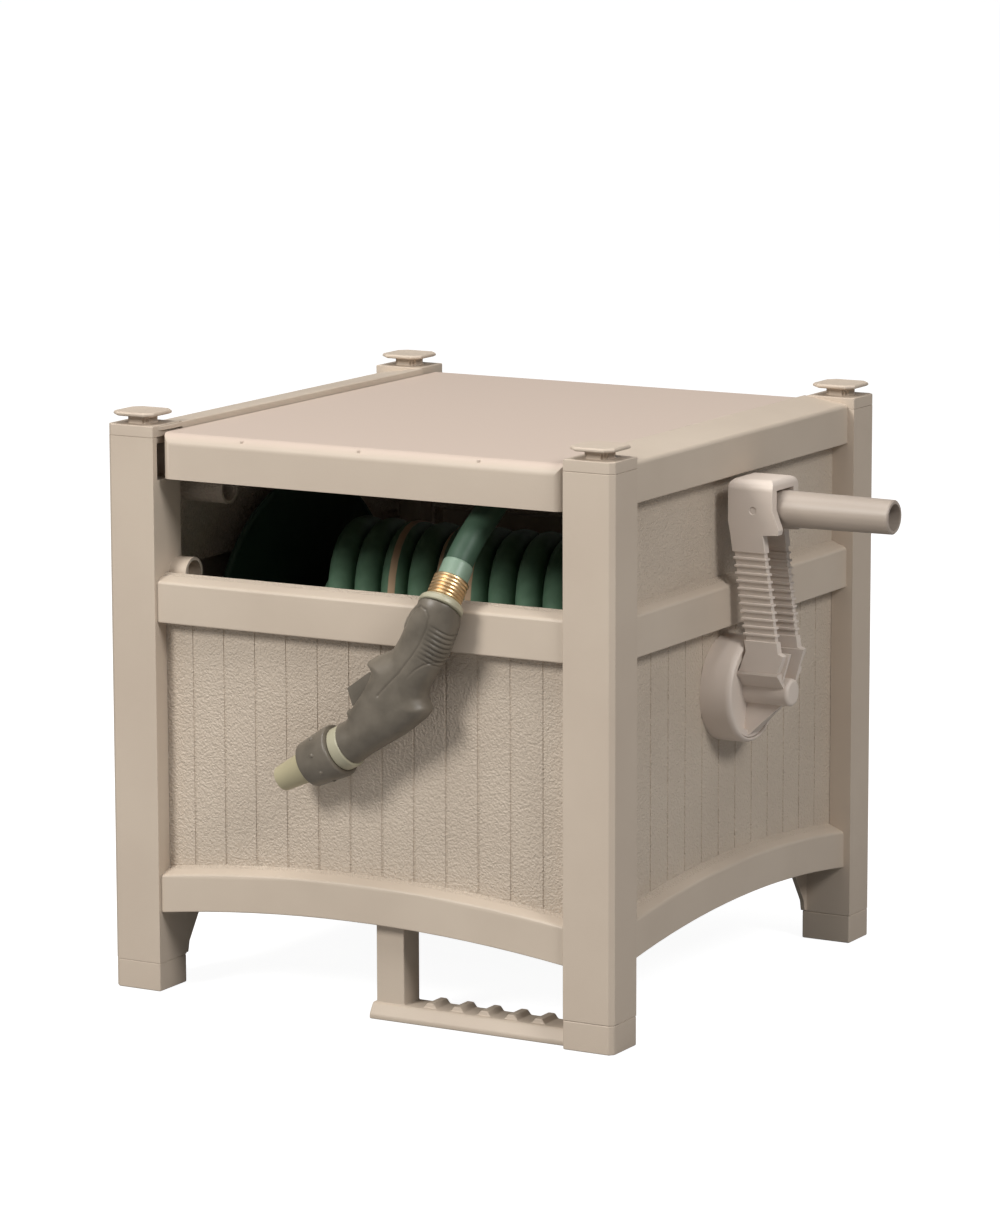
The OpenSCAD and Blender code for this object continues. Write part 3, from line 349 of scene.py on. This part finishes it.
# The grip's resin is the same resin painted darker: painted shade to hold back the light on its top
resin_grip_painted_shade = moulded_resin("resin_grip_painted_shade", (0.405, 0.340, 0.285), (0.375, 0.312, 0.260), 0.10,
                           0.45, grain=700)
resin_bearing = moulded_resin("bearing_plastic", (0.30, 0.26, 0.21), (0.27, 0.23, 0.19), 0.08, 0.4)
drum_green = moulded_resin("drum_green", (0.030, 0.066, 0.042), (0.020, 0.048, 0.030), 0.1, 0.45)
cream = moulded_resin("cream_plastic", (0.420, 0.390, 0.280), (0.385, 0.358, 0.255), 0.08,
                      0.38, grain=600)
cream_tip = moulded_resin("cream_tip", (0.440, 0.390, 0.250), (0.400, 0.352, 0.222), 0.08,
                          0.38, grain=600)
nozzle_rubber = moulded_resin("nozzle_rubber", (0.168, 0.143, 0.111), (0.110, 0.093, 0.071), 0.15,
                              0.40, grain=1500, cloudy=38)
seal_black = moulded_resin("seal_rubber", (0.02, 0.02, 0.02), (0.014, 0.014, 0.014), 0.05, 0.6)
band_green = moulded_resin("band_green", (0.225, 0.310, 0.235), (0.195, 0.275, 0.205), 0.05, 0.4)
steel = brushed_metal("zinc_steel", (0.62, 0.62, 0.60), (0.50, 0.50, 0.49), 0.35)
brass = brushed_metal("ferrule_brass", (0.80, 0.60, 0.36), (0.62, 0.42, 0.22), 0.38)
hose_green = hose_skin("hose_green", (0.125, 0.225, 0.145), (0.090, 0.168, 0.105),
                       (0.48, 0.33, 0.21))
# The free stretch is the same hose as the turns, with its green and line painted darker: painted shade
# under the lid
lead_green_painted_shade = hose_skin("lead_green_painted_shade", (0.048, 0.090, 0.058), (0.036, 0.070, 0.044),
                       (0.19, 0.14, 0.09))


# Hose

def unit_ring(along, sides, lean):
    """Points of a circle square to a direction, starting from the side given by lean."""
    first = (lean - along * lean.dot(along)).normalized()
    second = along.cross(first)
    turns = [2 * math.pi * j / sides for j in range(sides)]
    return [first * math.cos(a) + second * math.sin(a) for a in turns]


def hose_tube(name, path, radius, sides, sides_of_u):
    """A closed tube along a path, with U round it and V along it, and its length.

    sides_of_u gives for each point of the path the side where U starts.
    """
    count = len(path)
    points, run = [], [0.0]
    for i, spot in enumerate(path):
        along = (path[min(i + 1, count - 1)] - path[max(i - 1, 0)]).normalized()
        points += [spot + step * radius for step in unit_ring(along, sides, sides_of_u[i])]
        if i:
            run.append(run[-1] + (spot - path[i - 1]).length)
    faces = []
    for start in range(0, (count - 1) * sides, sides):
        for j in range(sides):
            k = (j + 1) % sides
            faces.append([start + j, start + k, start + sides + k, start + sides + j])
    faces += [list(range(sides))[::-1], [(count - 1) * sides + j for j in range(sides)]]
    mesh = bpy.data.meshes.new(name)
    mesh.from_pydata(points, [], faces)
    layer = mesh.uv_layers.new(name="hose_uv")
    for face in mesh.polygons[:(count - 1) * sides]:
        i, j = divmod(face.index, sides)
        square = ((j, i), (j + 1, i), (j + 1, i + 1), (j, i + 1))
        for corner, (u, v) in zip(face.loop_indices, square):
            layer.data[corner].uv = (u / sides, run[v])
    tube = bpy.data.objects.new(name, mesh)
    bpy.context.collection.objects.link(tube)
    smooth(tube, 50)
    return tube, run[-1]


def round_axis(x, y, z, radius, angle):
    """A point on a circle that lies across the cabinet."""
    return Vector((x, y + radius * math.cos(angle), z + radius * math.sin(angle)))


def on_drum(x, radius, turn):
    """A point round the drum. Whole turns lie at the top, and the hose goes to the front from there."""
    return round_axis(x, AXIS_Y, AXIS_Z, radius, 2 * math.pi * (0.25 + turn))


# Outer turns, counted from the top of the drum. They lean: each swings SLANT to either side, the
# furthest to the left LEANS_AT of a turn before the top.
OUTER_LEFT, OUTER_PITCH, OUTER_TURNS = -0.1350, 0.02557, 10.6
OUTER_START, OUTER_STEPS = -14, 40
SLANT, LEANS_AT = 0.031, 0.125

# The first turn lies deeper and upright. It climbs from one part of the turn to another.
FIRST_X, FIRST_DROP = -0.116, 0.0145
CLIMB_FROM, CLIMB_FOR = 0.45, 0.35

# The hose twists, so its line comes and goes. The angles say which way the line faces at the front
# of each turn: 0 is outwards, 90 is to the right. It stays so for LINE_HELD of a turn either way.
FRONT_OF_TURN = 0.147
STRIPE_FACES = (-150, -150, -150, 10, 160, 322, 350, 480, 520, 560, 600, 640)
LINE_HELD = 0.3

# Turns under them, which show between the outer ones and at the ends
UNDER_LEFT, UNDER_PITCH, UNDER_STEPS = -0.092, 0.0236, 36
UNDER_R = WOUND_R - HOSE_D * 1.36


def leaning_turn(t):
    """A point of the outer turns."""
    climb = min(max((t - CLIMB_FROM) / CLIMB_FOR, 0.0), 1.0)
    climb *= climb * (3 - 2 * climb)
    swing = math.cos(2 * math.pi * (LEANS_AT + t))
    x = OUTER_LEFT + OUTER_PITCH * t - SLANT * swing
    radius = WOUND_R - HOSE_D / 2 - FIRST_DROP * (1 - climb)
    return on_drum(FIRST_X + (x - FIRST_X) * climb, radius, t)


def stripe_side(t):
    """A direction across the hose: from the drum's axis outwards, turned aside by the twist."""
    whole = min(max(t - FRONT_OF_TURN, 0.0), len(STRIPE_FACES) - 1.001) + LINE_HELD
    turn = int(whole)
    part = min(max((whole - turn - 2 * LINE_HELD) / (1 - 2 * LINE_HELD), 0.0), 1.0)
    after = STRIPE_FACES[min(turn + 1, len(STRIPE_FACES) - 1)]
    face = math.radians(STRIPE_FACES[turn] + (after - STRIPE_FACES[turn]) * part)
    place = on_drum(0, 1.0, t)
    out = Vector((0, place.y - AXIS_Y, place.z - AXIS_Z)).normalized()
    return out * math.cos(face) + Vector((1, 0, 0)) * math.sin(face)


# Free stretch: its points in mm from the ferrule's end. Then it bends wide and lies down behind
# the wound hose, as far as LEAD_END.
LEAD_FROM = RING_O + LEAD_DIR * 0.032
LEAD_POINTS = [(0, 0, 0), (1, 8, 10.5), (3, 16.5, 21), (4.5, 26, 30), (6.5, 44, 44), (6, 65, 56),
               (4.5, 90, 64.5), (2.5, 120, 68.5), (0.5, 170, 69.5)]
LEAD_TOP = LEAD_FROM + Vector(LEAD_POINTS[-1]) / 1000
LEAD_END = math.radians(-60)
BEND_STEPS, LIE_STEPS, ROUTE_STEPS = 10, 5, 5


def lead_route():
    over, above = AXIS_Y - LEAD_TOP.y, LEAD_TOP.z - AXIS_Z
    bend = (over ** 2 + above ** 2 - LAY_R ** 2) / (2 * (above - LAY_R))
    top, meet = math.pi / 2, math.atan2(bend - above, over)
    spots = [LEAD_FROM + Vector(p) / 1000 for p in LEAD_POINTS]
    for i in range(1, BEND_STEPS + 1):
        angle = top + (meet - top) * i / BEND_STEPS
        spots.append(round_axis(LEAD_TOP.x, LEAD_TOP.y, LEAD_TOP.z - bend, bend, angle))
    for i in range(1, LIE_STEPS + 1):
        angle = meet + (LEAD_END - meet) * i / LIE_STEPS
        spots.append(round_axis(LEAD_TOP.x, AXIS_Y, AXIS_Z, LAY_R, angle))
    return spots


def rounded_route(spots, steps):
    """A smooth line through all the points of a route."""
    line = []
    for i in range(len(spots) - 1):
        a, b = spots[max(i - 1, 0)], spots[i]
        c, d = spots[i + 1], spots[min(i + 2, len(spots) - 1)]
        for k in range(steps):
            t = k / steps
            square = (a * 2 - b * 5 + c * 4 - d) * t ** 2
            cube = (b * 3 - a - c * 3 + d) * t ** 3
            line.append((b * 2 + (c - a) * t + square + cube) * 0.5)
    return line + [spots[-1]]


def free_stretch():
    """The hose from behind the drum to the ferrule, its length and its middle line."""
    line = rounded_route(lead_route(), ROUTE_STEPS)[::-1]
    sides = [Vector((0, 1, 0))] * len(line)
    lead, length = hose_tube("garden_hose", line, HOSE_D / 2, 24, sides)
    dress(lead, lead_green_painted_shade, "cabinet", "hose_lead")
    return lead, length, line


def wound_turns():
    steps = [i / OUTER_STEPS for i in range(OUTER_START, int(OUTER_TURNS * OUTER_STEPS) + 1)]
    sides = [stripe_side(t) for t in steps]
    line = [leaning_turn(t) for t in steps]
    first = (line[0] - line[1]).normalized()
    last = (line[-1] - line[-2]).normalized()
    line = [line[0] + first * HOSE_D] + line + [line[-1] + last * HOSE_D]
    sides = sides[:1] + sides + sides[-1:]
    wound = hose_tube("wound_turns", line, HOSE_D / 2, 20, sides)[0]
    dress(wound, hose_green, "drum", "wound_hose")


def lower_turns():
    turns = (DRUM_IN - HOSE_D / 2 - UNDER_LEFT) / UNDER_PITCH
    steps = [i / UNDER_STEPS for i in range(int(turns * UNDER_STEPS) + 1)]
    line = [on_drum(UNDER_LEFT + UNDER_PITCH * t, UNDER_R, t) for t in steps]
    sides = [Vector((-1, 0, 0))] * len(line)
    lower = hose_tube("lower_turns", line, HOSE_D / 2, 16, sides)[0]
    dress(lower, hose_green, "drum", "hose_bulk")


# Pieces that start from the solids: welded, with every sharp edge rounded

def softened(node, radius, finish, segments=2):
    """A copy of a solid with its edges rounded, which stands for that solid."""
    piece = bpy.data.objects.new(node + "_moulding", cad[node].data.copy())
    bpy.context.collection.objects.link(piece)
    take(piece)
    bpy.ops.object.mode_set(mode="EDIT")
    bpy.ops.mesh.select_all(action="SELECT")
    bpy.ops.mesh.remove_doubles(threshold=0.00001)
    bpy.ops.mesh.dissolve_limited(angle_limit=math.radians(0.5))
    bpy.ops.mesh.select_all(action="DESELECT")
    bpy.ops.object.mode_set(mode="OBJECT")
    edge = piece.modifiers.new("edge", "BEVEL")
    edge.width = radius
    edge.segments = segments
    edge.limit_method = "ANGLE"
    edge.angle_limit = math.radians(30)
    edge.use_clamp_overlap = True
    apply_all(piece)
    smooth(piece, 40)
    flat = piece.modifiers.new("flat", "WEIGHTED_NORMAL")
    flat.keep_sharp = True
    apply_all(piece)
    dress(piece, finish, body_of[node], node)
    return piece


# Where the planked sheets' faces lie, and how deep their grooves were drawn. Points less deep than
# ON_FACE belong to the face.
FRONT_SHEET, SIDE_SHEET = 0.217, 0.215
GROOVE_DRAWN, ON_FACE = 0.0013, 0.00003


def shallow_grooves(panel):
    """Makes the grooves between the planks half as deep, as worn moulds leave them."""
    spots = [point.co for point in panel.data.vertices]
    across = 0 if min(abs(spot.x) for spot in spots) > 0.1 else 1
    face = SIDE_SHEET if across == 0 else FRONT_SHEET
    for spot in spots:
        side = 1 if spot[across] > 0 else -1
        deep = face - abs(spot[across])
        if ON_FACE < deep < GROOVE_DRAWN:
            spot[across] = side * (face - deep / 2)
    return panel


# Post caps: the height that the stem stands on, how high above it the plate starts, how thick the
# plate was drawn and how thin it is, and how far the stem reaches from the middle
CAP_TOP, PLATE_LOW = 0.472, 0.0065
PLATE_DRAWN, PLATE_THIN = 0.0070, 0.0038
STEM_REACH, STEM_WIDER = 0.0125, 1.17


def flat_cap(cap):
    """Presses the cap's plate thin and broad, and makes its stem a little stouter."""
    spots = [point.co for point in cap.data.vertices]
    middle_x = (min(spot.x for spot in spots) + max(spot.x for spot in spots)) / 2
    middle_y = (min(spot.y for spot in spots) + max(spot.y for spot in spots)) / 2
    for spot in spots:
        up = spot.z - CAP_TOP
        x, y = spot.x - middle_x, spot.y - middle_y
        wider = 1.0
        if up > PLATE_LOW - 0.0001:
            part = (up - PLATE_LOW) / PLATE_DRAWN
            wider = 1.04 + 0.10 * abs(part - 0.47) / 0.5
            spot.z = CAP_TOP + PLATE_LOW + part * PLATE_THIN
        elif up > -0.0008 and math.hypot(x, y) < STEM_REACH:
            wider = STEM_WIDER
        spot.x, spot.y = middle_x + x * wider, middle_y + y * wider
    return cap


def cabinet():
    for side in ("front_left", "front_right", "rear_left", "rear_right"):
        softened("post_" + side, 0.0010, resin)
        flat_cap(softened("cap_" + side, 0.0009, resin))
        softened("foot_" + side, 0.0012, resin)
    for panel in ("front_panel", "rear_panel", "left_panel", "right_panel"):
        shallow_grooves(softened(panel, 0.0007, resin_pebbled))
    softened("foot_step", 0.0012, resin)
    softened("lid", 0.0010, resin_lid)


def working_parts():
    softened("crank_cup", 0.0012, resin_crank)
    softened("crank_hub", 0.0008, resin_crank)
    softened("crank_arm", 0.0007, resin_crank)
    softened("crank_grip", 0.0010, resin_grip_painted_shade)
    softened("left_flange", 0.0006, drum_green)
    softened("right_flange", 0.0006, drum_green)
    softened("inlet_elbow", 0.0008, brass)
    for node in ("left_bearing", "right_bearing"):
        paint(cad[node], resin_bearing)
    for node in ("hinge_pin_left", "hinge_pin_right", "step_screws", "cup_screws",
                 "flange_screws", "water_tube", "drive_shaft", "trigger_pin", "nozzle_nose"):
        paint(cad[node], steel)
    paint(cad["grip_pin"], resin_crank)
    paint(cad["drum_core"], drum_green)
    paint(cad["inlet_seal"], seal_black)


# Nozzle body: its outline seen from the front, in mm sideways and up from BODY_RISE above the
# middle of its ring. The shape is as thick as it is wide, up to the grip's own radius, so a narrow
# fin is thin and the grip is round.
GRIP_R, FIN_HALF = 0.0178, 0.0006
BEZEL_L, BEZEL_DRAWN = 0.0100, 0.006
BODY_RISE = 0.001
BODY_EDGE = (
    [(-1.4 + 17.4 * math.cos(math.radians(a)), -2 + 17.4 * math.sin(math.radians(a)))
     for a in range(0, 171, 10)]
    + [(-24.5, -5), (-29, -12), (-31, -17), (-31, -20), (-34.5, -27), (-38.5, -33.5), (-41.5, -38)]
    + [(-49, -41.8), (-58, -45.8), (-66, -50.6), (-64.6, -53.6), (-61.5, -58)]
    + [(-67, -67), (-75, -79), (-82.5, -90), (-86, -92.6), (-83.4, -96), (-85.2, -99.5)]
    + [(-93, -103.6), (-115, -117), (-98.4, -146.8), (-79, -136.6)]
    + [(-65, -126.6), (-48.6, -116.4), (-31.5, -106), (-22, -98.6), (-14.8, -92.8)]
    + [(-10.5, -87.5), (-9.8, -83.3), (-12, -79.2), (-13.6, -75), (-11.8, -69), (-7.4, -61)]
    + [(-1, -51), (4.4, -43), (8.4, -35), (12.8, -24), (15.2, -16)])

# What is cut out of the body: the mouth in front of the trigger, and the room that it moves in
MOUTH = [(-58.5, -56), (-59.5, -63.8), (-62.6, -70.8), (-67.6, -77.9), (-73.2, -85.1),
         (-77, -89.5), (-100, -95), (-100, -50)]
TRIGGER_ROOM = [(-92, -73), (-66, -57.5), (-44, -57.5), (-35, -61), (-34, -70), (-40, -78),
                (-60, -91), (-82, -91)]

# What is pressed into the body, in mm: two seams, and the folds where the neck bends
PANEL_SEAM = [(-25, -17), (-22.5, -10), (-17, -3), (-9.5, 0.6), (-3.5, -1.4), (-0.9, -7.3),
              (-2.9, -16), (-6.1, -22.8), (-9.4, -29.7), (-14.8, -37.7), (-22.4, -46.9),
              (-29, -55.1), (-38.8, -64.5), (-48.1, -74.4)]
NECK_SEAM = [(7.7, -50.8), (4.5, -45.4), (-1.4, -45), (-7.3, -46.5), (-13.8, -50.4),
             (-19.3, -55.6), (-24.7, -61.3)]
SEAM_WIDTH, PANEL_DEPTH, NECK_DEPTH = 0.75, 0.8, 0.7
FOLD_GAP, FOLD_WIDTH, FOLD_DEPTH = 4.1, 1.05, 1.3
FOLDS_FROM, FOLDS_TO, FOLDS_REACH = -0.6, 7.6, 17


def from_ring(spot):
    return Vector((RING_O.x + spot[0] / 1000, RING_O.y, RING_O.z + BODY_RISE + spot[1] / 1000))


def on_drawing(point):
    """A point's place in the drawing of the body, in mm."""
    return (point.co.x - RING_O.x) * 1000, (point.co.z - RING_O.z - BODY_RISE) * 1000


def flat_plate(name, edge, half):
    """A plate with the given outline, half its thickness to the front and half to the back."""
    line = bpy.data.curves.new(name, "CURVE")
    line.dimensions = "2D"
    line.fill_mode = "BOTH"
    line.extrude = half
    run = line.splines.new("POLY")
    run.points.add(len(edge) - 1)
    for point, spot in zip(run.points, edge):
        point.co = (spot[0] / 1000, spot[1] / 1000, 0, 1)
    run.use_cyclic_u = True
    plate = bpy.data.objects.new(name, line)
    bpy.context.collection.objects.link(plate)
    plate.rotation_euler = (math.pi / 2, 0, 0)
    plate.location = from_ring((0, 0))
    take(plate)
    bpy.ops.object.convert(target="MESH")
    plate = bpy.context.object
    settle(plate)
    bpy.ops.object.mode_set(mode="EDIT")
    bpy.ops.mesh.select_all(action="SELECT")
    bpy.ops.mesh.remove_doubles(threshold=0.00001)
    bpy.ops.mesh.normals_make_consistent(inside=False)
    bpy.ops.object.mode_set(mode="OBJECT")
    return plate


def even_mesh(piece, size, rounds):
    """Gives a piece an even mesh and softens its edges a little."""
    grid = piece.modifiers.new("grid", "REMESH")
    grid.mode = "VOXEL"
    grid.voxel_size = size
    ease = piece.modifiers.new("ease", "SMOOTH")
    ease.factor = 0.5
    ease.iterations = rounds
    apply_all(piece)


def cut_away(piece, cutter):
    """Cuts one piece out of another."""
    cut = piece.modifiers.new("cut", "BOOLEAN")
    cut.operation = "DIFFERENCE"
    cut.solver = "EXACT"
    cut.object = cutter
    apply_all(piece)
    bpy.data.objects.remove(cutter)


def half_space(name, place, along):
    """A big block that starts at a place and lies along a direction."""
    size = 0.09
    turn = along.to_track_quat("Z", "Y").to_euler()
    deselect()
    bpy.ops.mesh.primitive_cube_add(size=size, location=place + along * size / 2, rotation=turn)
    block = bpy.context.object
    block.name = name
    return block


def off_line(x, z, line):
    """Distance from a point to the nearest stretch of a line, and how far along that line it is."""
    best, at, run = 1e9, 0.0, 0.0
    for (ax, az), (bx, bz) in zip(line, line[1:]):
        long = math.hypot(bx - ax, bz - az)
        t = max(0.0, min(1.0, ((x - ax) * (bx - ax) + (z - az) * (bz - az)) / long ** 2))
        gap = math.hypot(x - ax - t * (bx - ax), z - az - t * (bz - az))
        if gap < best:
            best, at = gap, run + t * long
        run += long
    return best, at


def swell(plate):
    """Makes the plate round: each point moves out as far as on a round bar of the same width."""
    edge = BODY_EDGE + BODY_EDGE[:1]
    for point in plate.data.vertices:
        gap = min(off_line(*on_drawing(point), edge)[0] / 1000, GRIP_R)
        side = 1 if point.co.y > RING_O.y else -1
        bulge = math.sqrt(GRIP_R ** 2 - (GRIP_R - gap) ** 2)
        point.co.y = RING_O.y + side * max(FIN_HALF, bulge)


def seam_depth(x, z):
    """How deep the two seams are at a place. The neck's seam fades out over its last 20 mm."""
    gap = off_line(x, z, PANEL_SEAM)[0]
    deep = PANEL_DEPTH * math.exp(-(gap / SEAM_WIDTH) ** 2)
    gap, at = off_line(x, z, NECK_SEAM)
    fade = min(1.0, max(0.0, (40 - at) / 20))
    return deep + NECK_DEPTH * math.exp(-(gap / SEAM_WIDTH) ** 2) * fade


def fold_depth(x, z):
    """How deep the bending folds are at a place. They run out towards the front and both ends."""
    along = -(x - 12.8) * 0.426 - (z + 24) * 0.904
    across = (x - 12.8) * 0.904 - (z + 24) * 0.426
    fold = (along - 0.42 * across - 0.012 * across ** 2) / FOLD_GAP
    if not (FOLDS_FROM < fold < FOLDS_TO and across > -FOLDS_REACH):
        return 0.0
    fade = min(1.0, (across + FOLDS_REACH) / 9)
    fade *= min(1.0, (fold - FOLDS_FROM) * 1.5, (FOLDS_TO - fold) * 1.2)
    return FOLD_DEPTH * fade * math.exp(-((fold - round(fold)) * FOLD_GAP / FOLD_WIDTH) ** 2)


def press_seams(body):
    """Presses the two seams into the front and the bending folds into the side of the neck."""
    moves = []
    for point in body.data.vertices:
        x, z = on_drawing(point)
        deep = 0.0
        if point.normal.y < 0.25:
            deep += seam_depth(x, z)
        if point.co.y < RING_O.y + 0.010:
            deep += fold_depth(x, z)
        moves.append(point.normal * deep / 1000)
    for point, move in zip(body.data.vertices, moves):
        point.co -= move


def nozzle_grip():
    body = flat_plate("nozzle_grip", BODY_EDGE, 0.0016)
    even_mesh(body, 0.0010, 0)
    swell(body)
    even_mesh(body, 0.0008, 2)
    cut_away(body, half_space("ring_cut", RING_O - LEAD_DIR * 0.0025, LEAD_DIR))
    bezel_start = BARREL_O - BARREL_DIR * (BEZEL_L - 0.0002)
    cut_away(body, half_space("bezel_cut", bezel_start, BARREL_DIR))
    cut_away(body, flat_plate("mouth_cut", MOUTH, 0.03))
    cut_away(body, flat_plate("trigger_room", TRIGGER_ROOM, 0.0082))
    even_mesh(body, 0.00065, 2)
    press_seams(body)
    smooth(body, 60)
    dress(body, nozzle_rubber, "cabinet", "nozzle_body")


def cream_bezel():
    """The bezel's moulding, drawn out towards the grip."""
    bezel = softened("nozzle_bezel", 0.0006, cream)
    for point in bezel.data.vertices:
        if (point.co - BARREL_O).dot(BARREL_DIR) < -BEZEL_DRAWN / 2:
            point.co -= BARREL_DIR * (BEZEL_L - BEZEL_DRAWN)


# The collar's bumps: how many, how far along the barrel and out from its middle, and their radius
KNOBS, KNOBS_ALONG, KNOBS_OUT, KNOB_R = 8, 0.0150, 0.0198, 0.0021


def bumpy_collar():
    """The collar's moulding with a row of small round bumps."""
    collar = softened("nozzle_collar", 0.0020, nozzle_rubber, segments=3)
    across = Vector((0, 1, 0))
    up = BARREL_DIR.cross(across)
    knobs = []
    for i in range(KNOBS):
        angle = math.radians(12 + 360 / KNOBS * i)
        out = across * math.cos(angle) + up * math.sin(angle)
        place = BARREL_O + BARREL_DIR * KNOBS_ALONG + out * KNOBS_OUT
        deselect()
        bpy.ops.mesh.primitive_uv_sphere_add(segments=20, ring_count=12, radius=KNOB_R,
                                             location=place)
        knobs.append(bpy.context.object)
    take(collar)
    for knob in knobs:
        knob.select_set(True)
    bpy.ops.object.join()
    smooth(collar, 40)
    dress(collar, nozzle_rubber, body_of["nozzle_collar"], "nozzle_collar")


# Where the ferrule and the pale band start and end, along the hose from the middle of the ring
FERRULE_REACH, BAND_REACH = (0.0055, 0.0240), (0.0240, 0.0385)


def drawn_along_hose(piece, new_start, new_end):
    """Draws a piece out along the hose, or presses it together, to its real start and end."""
    reach = [(point.co - RING_O).dot(LEAD_DIR) for point in piece.data.vertices]
    start, end = min(reach), max(reach)
    for point, at in zip(piece.data.vertices, reach):
        moved = new_start + (at - start) * (new_end - new_start) / (end - start)
        point.co += LEAD_DIR * (moved - at)
    return piece


def nozzle():
    """Makes the nozzle and the hose's end, and gives the pieces that go with the hose."""
    nozzle_grip()
    softened("nozzle_trigger", 0.0020, nozzle_rubber)
    bumpy_collar()
    softened("nozzle_tip", 0.0010, cream_tip)
    cream_bezel()
    ring = softened("nozzle_ring", 0.0010, cream)
    band = softened("hose_band", 0.0003, band_green)
    ferrule = softened("hose_ferrule", 0.0005, brass)
    return [ring, drawn_along_hose(band, *BAND_REACH), drawn_along_hose(ferrule, *FERRULE_REACH)]


place_camera()
studio()
lead, lead_length, lead_line = free_stretch()
wound_turns()
lower_turns()
cabinet()
working_parts()
on_the_end = nozzle()
